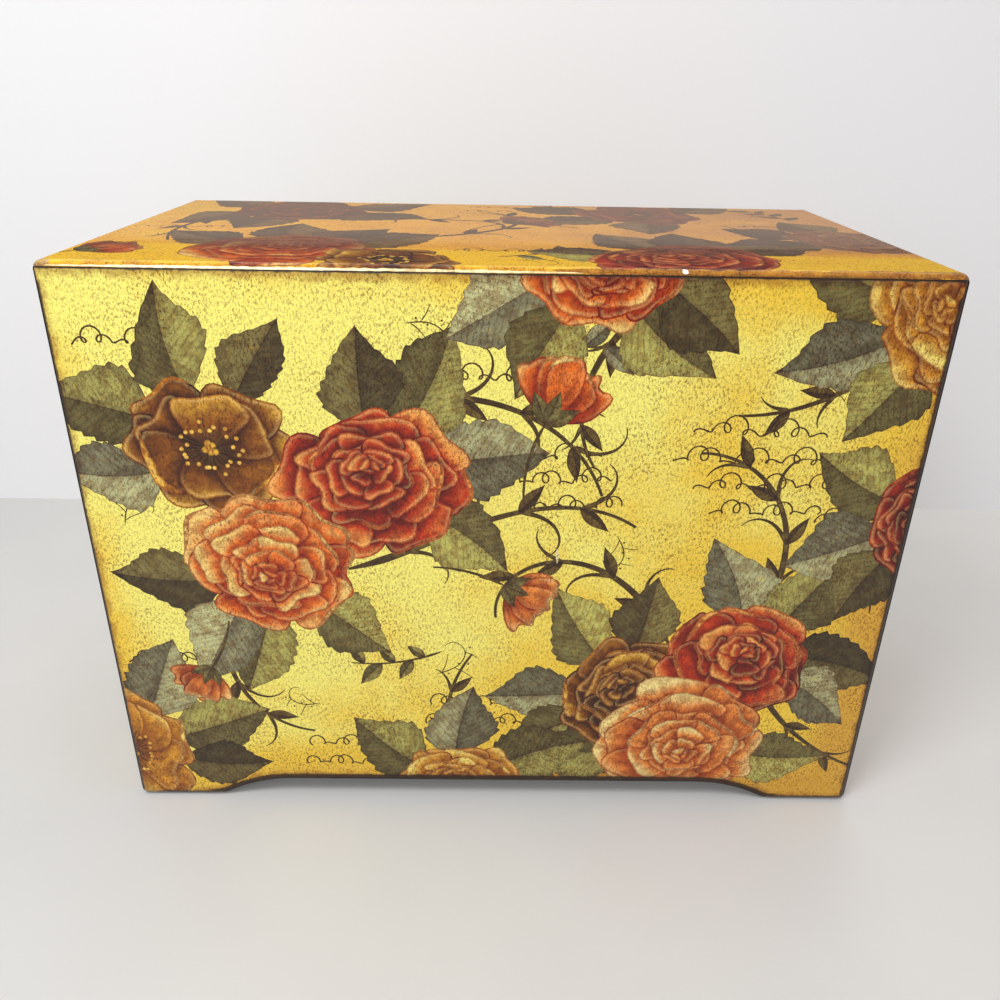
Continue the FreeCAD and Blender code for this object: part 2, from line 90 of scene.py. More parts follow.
def add(tree, kind, inputs=None, stops=None, **settings):
    """Adds a node. Inputs holds a value or another node's socket for each input it names."""
    made = tree.nodes.new(kind)
    for name, value in settings.items():
        setattr(made, name, value)
    for name, value in (inputs or {}).items():
        if isinstance(value, bpy.types.NodeSocket):
            tree.links.new(value, made.inputs[name])
        else:
            made.inputs[name].default_value = value
    if stops:
        ramp = made.color_ramp.elements
        while len(ramp) < len(stops):
            ramp.new(0.5)
        for element, (position, colour) in zip(ramp, stops):
            element.position = position
            element.color = colour
    return made


def new_material(name):
    material = bpy.data.materials.new(name)
    material.use_nodes = True
    tree = material.node_tree
    tree.nodes.clear()
    shader = add(tree, "ShaderNodeBsdfPrincipled")
    add(tree, "ShaderNodeOutputMaterial", {"Surface": shader.outputs[0]})
    place = add(tree, "ShaderNodeTexCoord").outputs["Object"]
    return material, tree, shader, place


def grey(value):
    return (value, value, value, 1.0)


BLACK = grey(0.0)
WHITE = grey(1.0)


def band(tree, value, low, high):
    """0 below low and 1 above high, with a soft step between."""
    step = add(tree, "ShaderNodeMapRange", {
        "Value": value, "From Min": low, "From Max": high,
    }, interpolation_type="SMOOTHSTEP")
    return step.outputs[0]


def noise(tree, place, size, detail=2.0, rough=0.5):
    """Noise whose grains are about the given size in millimetres."""
    made = add(tree, "ShaderNodeTexNoise", {
        "Vector": place, "Scale": 1 / (size * MM), "Detail": detail, "Roughness": rough,
    })
    return made.outputs["Fac"]


def maths(tree, kind, first, second=0.0):
    made = add(tree, "ShaderNodeMath", {0: first, 1: second}, operation=kind)
    return made.outputs[0]


def mix(tree, share, first, second, blend="MIX"):
    made = add(tree, "ShaderNodeMix", data_type="RGBA", blend_type=blend)
    for name, value in (("Factor_Float", share), ("A_Color", first), ("B_Color", second)):
        socket = [s for s in made.inputs if s.identifier == name][0]
        if isinstance(value, bpy.types.NodeSocket):
            tree.links.new(value, socket)
        else:
            socket.default_value = value
    return [s for s in made.outputs if s.identifier == "Result_Color"][0]


# The print: inks

# Each ink set runs from the deep tone in the folds to the pale tone of the lit rims.
CORAL = [srgb(c) for c in ("#ac3006", "#f2761e", "#ffdc80")]
SALMON = [srgb(c) for c in ("#b44c18", "#f6923c", "#ffe898")]
SCARLET = [srgb(c) for c in ("#701206", "#d03c0e", "#fbaa50")]
WINE = [srgb(c) for c in ("#500c08", "#a4240e", "#e2743c")]
AMBER = [srgb(c) for c in ("#462006", "#9a5a10", "#f4c040")]
PEACH = [srgb(c) for c in ("#a05a0c", "#e49e28", "#ffe878")]
OLIVE = [srgb(c) for c in ("#463c1c", "#7c7240", "#ccc668")]
SAGE = [srgb(c) for c in ("#4e4832", "#868262", "#cccb92")]
SHADE = [srgb(c) for c in ("#352a15", "#5c4f2c", "#8e8248")]
VINE = [srgb(c) for c in ("#35260f", "#5e4720", "#94803a")]
PEN = [srgb("#4c3412")] * 3
PLASTER = [srgb("#fbf6ea")] * 3
STAIN = [srgb("#8a4a10"), srgb("#b0671a"), srgb("#cc8628")]
SMUDGE = [srgb("#4c2608"), srgb("#64330a"), srgb("#7d450f")]
SCUFF = [srgb("#fbefb4")] * 3
# painted highlight: cream inks for the line of light along the lid's rounded front edge
HIGHLIGHT_INKS = [srgb("#f4dc94"), srgb("#fceeb4"), srgb("#fdf2c0")]


class Patch:
    """One painted shape: its outline, and the line from its root to its tip that its strokes follow."""

    def __init__(self, outline, root, tip, half, inks, light=0.0, kind="petal", group=0):
        line = np.array([tuple(p) for p in outline])
        ahead = np.roll(line, -1, axis=0)
        turning = (line[:, 0] * ahead[:, 1] - ahead[:, 0] * line[:, 1]).sum()
        self.line = line if turning > 0 else line[::-1]
        self.root = Vector(root)
        self.tip = Vector(tip)
        self.half = half
        self.inks = inks
        self.light = light
        self.kind = kind
        self.group = group

    def inner_points(self):
        """Points inside, so that colour can change across the shape."""
        rings = {"petal": ((0.8, 2), (0.45, 3)), "leaf": ((0.86, 2), (0.5, 3))}.get(self.kind, ())
        middle = self.line.mean(0)
        found = []
        for share, skip in rings:
            found += [Vector(p) for p in middle + (self.line[::skip] - middle) * share]
        return found


def turned(point, angle):
    c = math.cos(angle)
    s = math.sin(angle)
    return Vector((point[0] * c - point[1] * s, point[0] * s + point[1] * c))


def heading(angle):
    return Vector((math.cos(angle), math.sin(angle)))


class Page:
    """One sheet of the print, with its outline and all that is drawn on it, back to front."""

    def __init__(self, seed):
        self.random = random.Random(seed)
        self.patches = []
        self.group = 0

    def keep(self, outline, root, tip, half, inks, light=0.0, kind="petal"):
        patch = Patch(outline, root, tip, half, inks, light, kind, self.group)
        self.patches.append(patch)
        return patch

    def petal(self, centre, angle, start, length, half, inks, light, press, ruffle=0.05):
        """A petal out of a bloom: narrow at its root, broad and ruffled near its tip."""
        draw = self.random
        steps = 30
        waves = draw.choice((3, 4, 5))
        phase = draw.uniform(0, TAU)
        notch = draw.uniform(0.0, 0.13)
        curl = draw.uniform(-0.16, 0.16)
        outline = []
        for i in range(steps):
            turn = TAU * (i + 0.5) / steps - math.pi
            rise = 0.53 + 0.47 * math.cos(turn)
            swell = 1 + ruffle * math.sin(waves * turn + phase) * rise
            dip = notch * math.exp(-(turn / 0.3) ** 2)
            along = length * (rise * swell - dip)
            aside = half * 1.45 * math.sin(turn) * (0.42 + 0.58 * rise) * swell
            aside += curl * length * rise * rise
            outline.append((start + along, aside))
        places = [centre + press @ turned(p, angle) for p in outline]
        root = centre + press @ turned((start, 0), angle)
        tip = centre + press @ turned((start + length, curl * length), angle)
        self.keep(places, root, tip, half, inks, light)
        return places

    def fold_over(self, petal, inks, light, depth):
        """The turned-over rim of a petal, a pale crescent along its tip."""
        count = len(petal)
        first = int(count * self.random.uniform(0.3, 0.42))
        last = int(count * self.random.uniform(0.58, 0.72))
        rim = petal[first:last + 1]
        middle = sum(petal, Vector((0, 0))) / count
        inner = []
        for i, point in enumerate(rim):
            share = math.sin(math.pi * i / (len(rim) - 1))
            inner.append(point.lerp(middle, depth * share))
        outline = rim + inner[-2:0:-1]
        self.keep(outline, middle, rim[len(rim) // 2], 3.0, inks, light)

    def bloom(self, x, y, radius, inks, lean=90.0, tilt=0.82, light=0.0):
        """A full double bloom, its rings of petals laid from the outside in."""
        self.group += 1
        draw = self.random
        turn = math.radians(lean)
        away = heading(turn)
        squeeze = Matrix.Rotation(turn, 2) @ Matrix.Diagonal((tilt, 1.0)) @ Matrix.Rotation(-turn, 2)
        rings = [
            (7, 0.26, 0.76, 0.41, 0.02),
            (7, 0.17, 0.66, 0.36, -0.04),
            (6, 0.12, 0.53, 0.31, 0.1),
            (6, 0.07, 0.42, 0.24, 0.0),
            (5, 0.03, 0.32, 0.18, 0.14),
            (4, 0.00, 0.22, 0.13, 0.04),
            (3, -0.02, 0.12, 0.08, 0.18),
        ]
        for level, (count, start, length, half, tone) in enumerate(rings):
            centre = Vector((x, y)) + away * (radius * 0.035 * level)
            first = draw.uniform(0, TAU)
            order = list(range(count))
            draw.shuffle(order)
            for k in order:
                angle = first + TAU * k / count + draw.uniform(-0.14, 0.14)
                long = radius * length * draw.uniform(0.88, 1.1)
                broad = radius * half * draw.uniform(0.86, 1.12)
                facing = heading(angle).dot(Vector((-0.5, 0.86)))
                shade = light + tone + draw.uniform(-0.2, 0.2) + 0.12 * facing
                shade += 0.34 if draw.random() < 0.2 else 0.0
                petal = self.petal(
                    centre, angle, radius * start, long, broad, inks, shade, squeeze,
                    ruffle=0.06 if level < 4 else 0.02,
                )
                if level < 5 and draw.random() < 0.4:
                    self.fold_over(petal, inks, shade + 0.34, draw.uniform(0.12, 0.28))

    def open_bloom(self, x, y, radius, inks, lean=90.0, tilt=0.85, light=0.0, count=6):
        """An open single bloom with broad petals round a boss of stamens."""
        self.group += 1
        draw = self.random
        turn = math.radians(lean)
        squeeze = Matrix.Rotation(turn, 2) @ Matrix.Diagonal((tilt, 1.0)) @ Matrix.Rotation(-turn, 2)
        centre = Vector((x, y))
        first = draw.uniform(0, TAU)
        for ring in range(2):
            for k in range(count):
                angle = first + TAU * (k + 0.5 * ring) / count + draw.uniform(-0.08, 0.08)
                reach = radius * (1.0, 0.8)[ring] * draw.uniform(0.92, 1.06)
                petal = self.petal(
                    centre, angle, 0.0, reach, radius * draw.uniform(0.36, 0.42), inks,
                    light + draw.uniform(-0.1, 0.12) + 0.05 * ring, squeeze, ruffle=0.07,
                )
                if draw.random() < 0.5:
                    self.fold_over(petal, inks, light + 0.5, draw.uniform(0.12, 0.3))
        for k in range(26):
            angle = TAU * k / 26 + draw.uniform(-0.1, 0.1)
            reach = radius * draw.uniform(0.2, 0.32)
            start = centre + squeeze @ (heading(angle) * radius * 0.05)
            self.stroke(start, angle, reach, draw.uniform(-0.02, 0.02), 0.5, 0.35, VINE)
            self.dot(centre + squeeze @ (heading(angle) * (reach + radius * 0.05)), 0.75, PEACH)
        for k in range(7):
            self.dot(centre + heading(k * 2.4) * (radius * 0.03 * math.sqrt(k)), 1.2, AMBER)

    def bud(self, x, y, size, angle, inks, stem=18.0):
        """A half-open bud with its calyx, on a curved stem."""
        self.group += 1
        draw = self.random
        turn = math.radians(angle)
        foot = Vector((x, y))
        self.stroke(foot, turn + math.pi, stem, 0.02, 1.3, 0.7, VINE)
        plain = Matrix.Identity(2)
        for spread in (-0.62, 0.62, -0.34, 0.34, 0.05):
            petal = self.petal(
                foot, turn + spread, size * 0.08, size * draw.uniform(0.84, 1.0),
                size * 0.25, inks, draw.uniform(-0.1, 0.2), plain, ruffle=0.05,
            )
            if abs(spread) < 0.5:
                self.fold_over(petal, inks, 0.5, 0.25)
        for spread in (-0.75, 0.75, 0.0):
            self.leaf_half(foot, turn + spread, size * 0.52, size * 0.11, OLIVE, -0.05, 0.1, 1)
            self.leaf_half(foot, turn + spread, size * 0.52, size * 0.11, OLIVE, 0.2, 0.1, -1)

    def leaf_half(self, root, angle, length, half, inks, light, bend, side, teeth=0):
        """One half of a leaf, from its midrib out to its toothed edge."""
        steps = 36 if teeth else 14
        rib = []
        edge = []
        for i in range(steps + 1):
            t = i / steps
            sway = bend * length * t * t
            broad = half * 1.06 * math.sin(math.pi * t ** 0.74) ** 1.12
            if teeth and 0 < i < steps:
                broad *= 1 + 0.13 * ((t * teeth) % 1.0 - 0.5) + 0.13 * math.sin(7 * t + side + half)
            rib.append((length * t, sway))
            if 0 < i < steps:
                edge.append((length * t + broad * 0.12, sway + side * broad))
        outline = [root + turned(p, angle) for p in rib + edge[::-1]]
        tip = root + turned((length, bend * length), angle)
        self.keep(outline, root, tip, half, inks, light, "leaf")

    def leaf(self, x, y, angle, length, half, inks, bend=0.0, lit=1, light=0.0):
        """A pointed leaf in two halves, the one that faces the light paler."""
        root = Vector((x, y))
        turn = math.radians(angle)
        stalk = root - heading(turn) * length * 0.12
        self.stroke(stalk, turn, length * 0.14, 0.0, 1.3, 1.0, VINE)
        teeth = 7 + int(length) % 3
        for side in (-1, 1):
            tone = light + (0.36 if side == lit else -0.08)
            self.leaf_half(root, turn, length, half, inks, tone, bend, side, teeth)

    def sprig(self, x, y, angle, length, bend, count, inks, size=8.0):
        """A thin stem with small leaves to both sides."""
        start = Vector((x, y))
        turn = math.radians(angle)
        line = self.stroke(start, turn, length, bend, 1.1, 0.5, VINE)
        for k in range(count):
            place = line[int((k + 1.2) / (count + 1) * (len(line) - 1))]
            side = 1 if k % 2 else -1
            aim = turn + bend * length * (k + 1) / count + side * self.random.uniform(0.6, 0.95)
            reach = size * self.random.uniform(0.75, 1.15)
            for half in (-1, 1):
                tone = 0.35 if half == side else -0.1
                self.leaf_half(place, aim, reach, reach * 0.22, inks, tone, 0.08 * side, half)

    def stroke(self, start, angle, length, bend, wide, narrow, inks, swing=0.0, light=0.0):
        """A tapering brush line. Bend is its turn per millimetre, and swing how fast that grows."""
        count = max(6, int(length / 1.6))
        step = length / count
        line = [Vector(start)]
        turn = angle
        for i in range(count):
            line.append(line[-1] + heading(turn) * step)
            turn += (bend + swing * i * step) * step
        self.ribbon(line, wide, narrow, inks, light)
        return line

    def ribbon(self, line, wide, narrow, inks, light=0.0):
        """A brush line along given points, thin where it starts."""
        sides = []
        last = len(line) - 1
        for i, place in enumerate(line):
            t = i / last
            half = (wide + (narrow - wide) * t) / 2 * min(1.0, 0.3 + 6 * t)
            way = line[min(i + 1, last)] - line[max(i - 1, 0)]
            aside = Vector((-way.y, way.x)).normalized() * half
            sides.append((place + aside, place - aside))
        outline = [s[0] for s in sides] + [s[1] for s in reversed(sides)]
        self.keep(outline, line[0], line[-1], wide, inks, light, "stroke")

    def pen_loops(self, x, y, angle, length, high):
        """A row of fine pen loops of changing height, an ornament and no writing."""
        draw = self.random
        turn = math.radians(angle)
        start = Vector((x, y))
        period = high * 0.85
        phase = draw.uniform(0, TAU)

        def spot(t):
            tall = high * (0.55 + 0.45 * math.sin(t * 0.31 + phase))
            along = t / TAU * period - 0.42 * tall * math.sin(t)
            return start + turned((along, 0.5 * tall * (1 - math.cos(t)) + 0.4 * math.sin(t * 0.17)), turn)

        for k in range(int(length / period) * 2):
            first = k * math.pi - 0.15
            self.ribbon([spot(first + (math.pi + 0.3) * i / 7) for i in range(8)], 0.68, 0.5, PEN)

    def collar(self, x, y, radius, leaves):
        """Leaves that spread from under a bloom: each is its angle, its length and its inks."""
        for k, (angle, length, inks) in enumerate(leaves):
            foot = Vector((x, y)) + heading(math.radians(angle)) * radius * 0.62
            self.leaf(
                foot.x, foot.y, angle + self.random.uniform(-12, 12), length,
                length * self.random.uniform(0.3, 0.38), inks, self.random.uniform(-0.3, 0.3),
                1 if k % 2 else -1, self.random.uniform(-0.1, 0.2),
            )

    def tendril(self, x, y, angle, length, bend, wide, inks=VINE, swing=0.0, curls=2):
        """A scrolling vine with short curled shoots and a coiled end."""
        turn = math.radians(angle)
        line = self.stroke(Vector((x, y)), turn, length, bend, wide * 1.25, wide * 0.4, inks, swing)
        for k in range(curls):
            share = (k + 1) / (curls + 1)
            place = line[int(share * (len(line) - 1))]
            near = line[max(int(share * (len(line) - 1)) - 1, 0)]
            ahead = math.atan2(place.y - near.y, place.x - near.x)
            side = 1 if k % 2 else -1
            reach = length * self.random.uniform(0.18, 0.28)
            self.stroke(
                place, ahead + side * 0.35, reach, side * 0.03, wide * 0.8, 0.3, inks,
                swing=side * 0.16 / reach,
            )
            self.leaf_half(place, ahead - side * 0.5, wide * 5.4, wide * 1.1, inks, 0.3, 0.12 * -side, -side)
            self.leaf_half(place, ahead - side * 0.5, wide * 5.4, wide * 0.7, inks, -0.1, 0.12 * -side, side)
        return line

    def dot(self, place, radius, inks, light=0.3):
        outline = [place + heading(TAU * i / 8) * radius for i in range(8)]
        self.keep(outline, place - Vector((radius, 0)), place + Vector((radius, 0)), radius, inks, light, "stroke")

    def pen_scroll(self, x, y, angle, size):
        """A fine pen ornament: a long curve that curls up at its end, with hairline shoots."""
        turn = math.radians(angle)
        hand = self.random.choice((-1, 1))
        line = self.stroke(
            Vector((x, y)), turn, size * 1.5, hand * 0.2 / size, 0.5, 0.28, PEN,
            swing=hand * 3.6 / (size * size),
        )
        for k in range(4):
            place = line[int((0.12 + 0.16 * k) * (len(line) - 1))]
            side = -hand if k % 2 else hand
            self.stroke(
                place, turn + side * 0.7, size * (0.5 - 0.07 * k), side * 1.4 / size, 0.42, 0.25,
                PEN, swing=-side * 2.6 / (size * size),
            )
            tip = place + heading(turn - side * 0.5) * size * 0.16
            self.dot(tip, 0.38, PEN)

    def blot(self, x, y, wide, high, inks, kind="chip", points=11):
        """An irregular spot, such as a chip in the lacquer or a worn place."""
        self.group += 1
        outline = []
        for i in range(points):
            reach = self.random.uniform(0.72, 1.15)
            away = heading(TAU * i / points)
            outline.append((x + away.x * wide / 2 * reach, y + away.y * high / 2 * reach))
        self.keep(outline, (x, y), (x + wide, y), high, inks, 0.0, kind)

    def wear_and_highlight_band(self, start, end, high, inks, rough=0.5, kind="worn"):
        """A rubbed strip along an edge, ragged on both sides. Along the lid's front edge the same band paints a
        cream highlight.
        """
        self.group += 1
        start = Vector(start)
        end = Vector(end)
        count = int((end - start).length / 1.7)
        aside = Vector((start.y - end.y, end.x - start.x)).normalized()
        upper = []
        lower = []
        for i in range(count + 1):
            t = i / count
            taper = min(1.0, 5 * t, 5 * (1 - t)) ** 0.5
            place = start.lerp(end, t)
            upper.append(place + aside * high * taper * (1 + self.random.uniform(-rough, rough)) / 2)
            lower.append(place - aside * high * taper * (1 + self.random.uniform(-rough, rough)) / 2)
        self.keep(upper + lower[::-1], start, end, high, inks, 0.1, kind)


# The print: layouts of my own, one for each sheet

def draw_back(page):
    """The wide plain face: a slanting spray at upper left, a second at lower right, vines between."""
    page.tendril(-52, 104, 14, 104, 0.012, 2.5, swing=-0.0004, curls=4)
    page.tendril(-54, 156, 30, 104, -0.012, 2.4, swing=-0.0001, curls=4)
    page.tendril(62, 74, 118, 92, 0.004, 2.4, swing=0.0006, curls=4)
    page.tendril(92, 84, 66, 84, 0.012, 2.3, swing=0.0003, curls=4)
    page.tendril(-94, 92, 250, 74, 0.014, 2.2, swing=0.0003, curls=3)
    page.tendril(98, 54, 300, 62, 0.012, 2.0, curls=2)
    page.tendril(44, 196, 220, 60, 0.016, 2.2, swing=0.0003, curls=3)
    page.tendril(128, 190, 236, 62, -0.016, 2.2, curls=3)
    page.tendril(-12, 16, 118, 56, -0.02, 2.0, curls=2)
    for x, y, angle, length, high in (
        (-16, 172, 2, 44, 3.6), (62, 156, -2, 46, 4.2), (56, 146, -1, 60, 4.0), (64, 136, 1, 52, 3.8),
        (70, 127, 0, 40, 3.6), (-6, 146, 1, 40, 3.8), (2, 137, 2, 36, 3.4), (-24, 46, 1, 38, 3.4),
        (-26, 37, 0, 42, 3.2), (106, 124, 2, 26, 3.4), (-134, 64, 2, 30, 3.2), (-132, 55, 1, 24, 3.0),
        (-70, 26, 2, 36, 3.4), (-72, 17, 1, 30, 3.2), (108, 20, 3, 26, 3.2), (-132, 182, 3, 26, 3.4),
        (12, 128, 2, 30, 3.2), (108, 96, 1, 26, 3.2),
    ):
        page.pen_loops(x, y, angle, length, high * 1.5)
    for x, y, angle, size in (
        (-22, 60, 20, 17), (100, 172, 15, 18), (-30, 190, 8, 15), (118, 136, 110, 15),
        (-126, 120, 80, 14), (40, 118, 300, 13), (-66, 46, 190, 13), (20, 16, 40, 13),
    ):
        page.pen_scroll(x, y, angle, size)
    page.sprig(12, 186, -14, 44, 0.012, 6, SAGE, 13)
    page.sprig(-20, 70, 204, 34, -0.016, 5, OLIVE, 11)
    page.sprig(132, 88, 96, 34, 0.012, 5, SAGE, 11)
    page.collar(-94, 148, 29, ((150, 38, OLIVE), (205, 34, SAGE), (105, 36, OLIVE), (60, 32, SHADE)))
    page.collar(-42, 136, 31, ((62, 40, OLIVE), (18, 40, SAGE), (-30, 36, OLIVE), (95, 34, SHADE)))
    page.collar(-78, 106, 30, ((200, 38, SHADE), (262, 38, OLIVE), (232, 40, SAGE), (310, 36, OLIVE)))
    page.collar(50, 52, 27, ((128, 38, OLIVE), (180, 38, SAGE), (90, 34, SHADE), (215, 34, OLIVE)))
    page.collar(88, 66, 28, ((92, 36, SAGE), (50, 38, OLIVE), (10, 38, SHADE), (-20, 34, SAGE)))
    page.collar(70, 30, 33, ((-14, 38, OLIVE), (195, 38, OLIVE), (230, 34, SAGE)))
    page.collar(140, 200, 32, ((180, 38, OLIVE), (215, 40, SAGE), (245, 36, OLIVE)))
    page.collar(-140, 22, 31, ((60, 38, SAGE), (20, 40, OLIVE), (-8, 34, SHADE)))
    page.collar(30, 212, 27, ((205, 38, SAGE), (240, 36, OLIVE), (300, 36, OLIVE), (335, 36, SHADE)))
    page.collar(-14, 4, 27, ((140, 36, OLIVE), (95, 34, SAGE), (40, 38, OLIVE)))
    page.collar(146, 124, 24, ((150, 34, OLIVE), (195, 36, SAGE), (225, 32, SHADE)))
    page.open_bloom(-94, 148, 29, AMBER, 70, 0.86)
    page.bloom(-42, 136, 31, SCARLET, 100, 0.88)
    page.bloom(-78, 106, 30, CORAL, 250, 0.86, light=0.08)
    page.bloom(50, 52, 27, AMBER, 140, 0.86)
    page.bloom(88, 66, 28, SCARLET, 60, 0.88)
    page.bloom(70, 30, 33, SALMON, 280, 0.88, light=0.08)
    page.bloom(140, 200, 32, PEACH, 200, 0.88)
    page.open_bloom(-140, 22, 31, PEACH, 20, 0.88)
    page.bloom(30, 212, 27, CORAL, 270, 0.88, light=0.05)
    page.bloom(-14, 4, 27, PEACH, 90, 0.86)
    page.bloom(146, 124, 24, WINE, 180, 0.88)
    page.bud(14, 158, 23, 62, CORAL, 30)
    page.bud(2, 98, 19, -30, SALMON, 26)
    page.bud(-104, 62, 17, 236, SALMON, 22)
    page.blot(20, 110, 1.0, 6.0, SCUFF, "scuff")
    page.stroke((50, 139), math.radians(122), 6.5, 0.01, 0.25, 0.15, SCUFF)


def draw_top(page):
    page.tendril(-30, -30, 24, 96, 0.01, 2.4, swing=0.0003, curls=4)
    page.tendril(-70, 24, 340, 104, 0.012, 2.3, swing=-0.0003, curls=4)
    page.tendril(66, 24, 160, 76, -0.012, 2.2, curls=3)
    page.tendril(84, -56, 60, 70, 0.014, 2.1, curls=3)
    page.tendril(-108, 20, 240, 66, 0.014, 2.1, curls=3)
    for x, y, angle, length, high in (
        (-16, -56, 2, 38, 3.4), (-14, 44, 1, 40, 3.4), (92, 8, 2, 34, 3.2), (-134, -14, 2, 32, 3.4),
        (94, -4, 1, 30, 3.2), (-14, 56, 1, 34, 3.2),
    ):
        page.pen_loops(x, y, angle, length, high * 1.5)
    for x, y, angle, size in ((108, 36, 100, 15), (-122, -38, 60, 14), (4, -72, 20, 14), (-46, 60, 170, 13)):
        page.pen_scroll(x, y, angle, size)
    page.sprig(-2, -66, 20, 36, 0.012, 5, SAGE, 12)
    page.sprig(120, 26, 100, 36, 0.01, 6, OLIVE, 12)
    page.collar(-72, -56, 31, ((30, 40, OLIVE), (150, 38, SAGE), (100, 36, OLIVE), (60, 34, SHADE)))
    page.collar(58, -66, 30, ((120, 38, SAGE), (40, 38, OLIVE), (80, 36, SHADE), (170, 34, OLIVE)))
    page.collar(-84, 38, 31, ((210, 40, OLIVE), (20, 40, SAGE), (330, 38, SHADE), (260, 36, OLIVE), (150, 36, SAGE)))
    page.collar(58, 40, 30, ((30, 40, OLIVE), (170, 38, SHADE), (270, 36, SAGE), (220, 38, OLIVE)))
    page.collar(126, -24, 26, ((100, 34, OLIVE), (200, 36, SAGE), (160, 34, SHADE)))
    page.bloom(-72, -56, 31, CORAL, 90, 0.88)
    page.open_bloom(-36, -74, 24, AMBER, 60, 0.86)
    page.bloom(58, -66, 30, SCARLET, 120, 0.88)
    page.bloom(-84, 38, 31, WINE, 20, 0.88)
    page.open_bloom(58, 40, 30, SCARLET, 200, 0.88)
    page.bloom(126, -24, 26, PEACH, 20, 0.88)
    page.bud(2, 8, 22, 40, SALMON, 30)
    page.bud(-134, -66, 20, 40, CORAL, 12)
    front = case_front
    page.wear_and_highlight_band((14, front + 0.9), (142, front + 0.7), 2.8, STAIN, 0.4)
    page.wear_and_highlight_band((96, front + 1.8), (143, front + 1.8), 3.0, STAIN, 0.5)
    page.wear_and_highlight_band((28, front - 0.5), (143, front - 0.5), 1.3, SMUDGE, 0.8)
    page.wear_and_highlight_band((118, front + 2.6), (143, front + 2.6), 0.8, SMUDGE, 0.9)
    # painted highlight: a cream line along the lid's rounded front edge, where the light gleams on it
    page.wear_and_highlight_band((-137, front + 0.1), (24, front + 0.1), 0.95, HIGHLIGHT_INKS, 0.4, "cream")
    page.wear_and_highlight_band((-139, front - 0.7), (-60, front - 0.7), 0.4, STAIN, 0.5)
    page.blot(54, front + 1.3, 2.1, 2.1, PLASTER)
    for x, y, size in ((-92, 12, 0.9), (-97, 6, 0.7), (-118, -61, 1.1), (-84, 66, 1.0), (36, 69, 1.3)):
        page.blot(x, y, size * 1.6, size, PLASTER)
    page.blot(-136.5, front + 1.5, 5.5, 4.2, [srgb("#b9a27a")] * 3, "worn")


def draw_side(page):
    """The narrow sides: one tall spray with a half bloom at the lower corner."""
    page.tendril(-18, 104, 74, 96, 0.012, 2.4, swing=0.0002, curls=4)
    page.tendril(8, 78, 34, 76, 0.016, 2.3, curls=4)
    page.tendril(-30, 66, 220, 66, 0.012, 2.2, curls=3)
    page.tendril(-64, 20, 70, 60, -0.014, 2.0, curls=3)
    for x, y, angle, length, high in (
        (-74, 152, 2, 40, 3.4), (-72, 143, 1, 34, 3.2), (30, 122, 2, 38, 3.4), (32, 113, 1, 36, 3.2),
        (-6, 28, 2, 44, 3.4), (-4, 19, 1, 40, 3.2), (-76, 196, 1, 40, 3.4),
    ):
        page.pen_loops(x, y, angle, length, high * 1.5)
    for x, y, angle, size in (
        (-56, 168, 20, 16), (6, 190, 10, 15), (50, 134, 80, 14), (-62, 60, 60, 13), (54, 40, 120, 12),
    ):
        page.pen_scroll(x, y, angle, size)
    page.sprig(-58, 112, 80, 40, 0.012, 6, SAGE, 12)
    page.collar(-16, 104, 31, ((140, 40, OLIVE), (55, 40, SAGE), (100, 36, SHADE), (185, 36, OLIVE)))
    page.collar(8, 74, 29, ((8, 38, OLIVE), (-35, 38, SAGE), (280, 36, OLIVE), (40, 34, SHADE)))
    page.collar(-36, 62, 23, ((190, 34, SAGE), (230, 36, OLIVE), (265, 32, SHADE)))
    page.collar(66, 186, 30, ((210, 38, OLIVE), (250, 36, SAGE), (180, 36, SHADE)))
    page.collar(-74, 12, 28, ((40, 38, OLIVE), (5, 38, SAGE), (75, 34, SHADE)))
    page.bloom(-16, 104, 31, CORAL, 100, 0.88)
    page.bloom(8, 74, 29, SCARLET, 240, 0.88)
    page.open_bloom(-36, 62, 23, AMBER, 60, 0.88)
    page.bloom(66, 186, 30, PEACH, 200, 0.88)
    page.open_bloom(-74, 12, 28, SALMON, 60, 0.88)
    page.bud(-10, 158, 22, 80, CORAL, 28)
    page.bud(54, 84, 19, 30, SALMON, 24)


def draw_front(page, low, high, kind):
    """A drawer's front: three small sprays, in an order of its own for each drawer."""
    middle = (low + high) / 2
    shift = (-14, 6, 22)[kind]
    blooms = ((CORAL, SCARLET, AMBER), (AMBER, SALMON, SCARLET), (PEACH, CORAL, WINE))[kind]
    page.tendril(-70 + shift, middle, 14, 70, -0.012, 1.8, curls=3)
    page.tendril(10 + shift, middle + 6, 340, 70, 0.012, 1.8, curls=3)
    page.tendril(60 + shift, middle - 4, 8, 54, 0.012, 1.7, curls=2)
    page.tendril(-88 + shift, middle - 4, 190, 44, 0.014, 1.7, curls=2)
    for x, angle in ((-112, 20), (-30, 10), (34, 170), (108, 160)):
        page.pen_scroll(x, middle + 11 * math.sin(x * 0.11), angle, 12)
    for x, y in ((-126, 9), (-52, -18), (30, 14), (98, -12)):
        page.pen_loops(x, middle + y, 1, 26, 3.2)
    for k, x in enumerate((-84 + shift, -8 + shift, 78 + shift)):
        for angle, length, inks in ((35, 26, OLIVE), (150, 25, SAGE), (215, 24, OLIVE), (330, 26, SHADE)):
            aim = angle + 12 * k
            spot = Vector((x, middle)) + heading(math.radians(aim)) * 13
            page.leaf(spot.x, spot.y, aim, length, 7, inks, 0.1, 1 if k % 2 else -1)
        page.bloom(x, middle + (6, -5, 3)[k], 23, blooms[k], 80 + 60 * k, 0.86)
    page.bud(-46 + shift, middle - 12, 15, 20, blooms[1], 14)
    page.bud(40 + shift, middle + 10, 15, 200, blooms[0], 14)


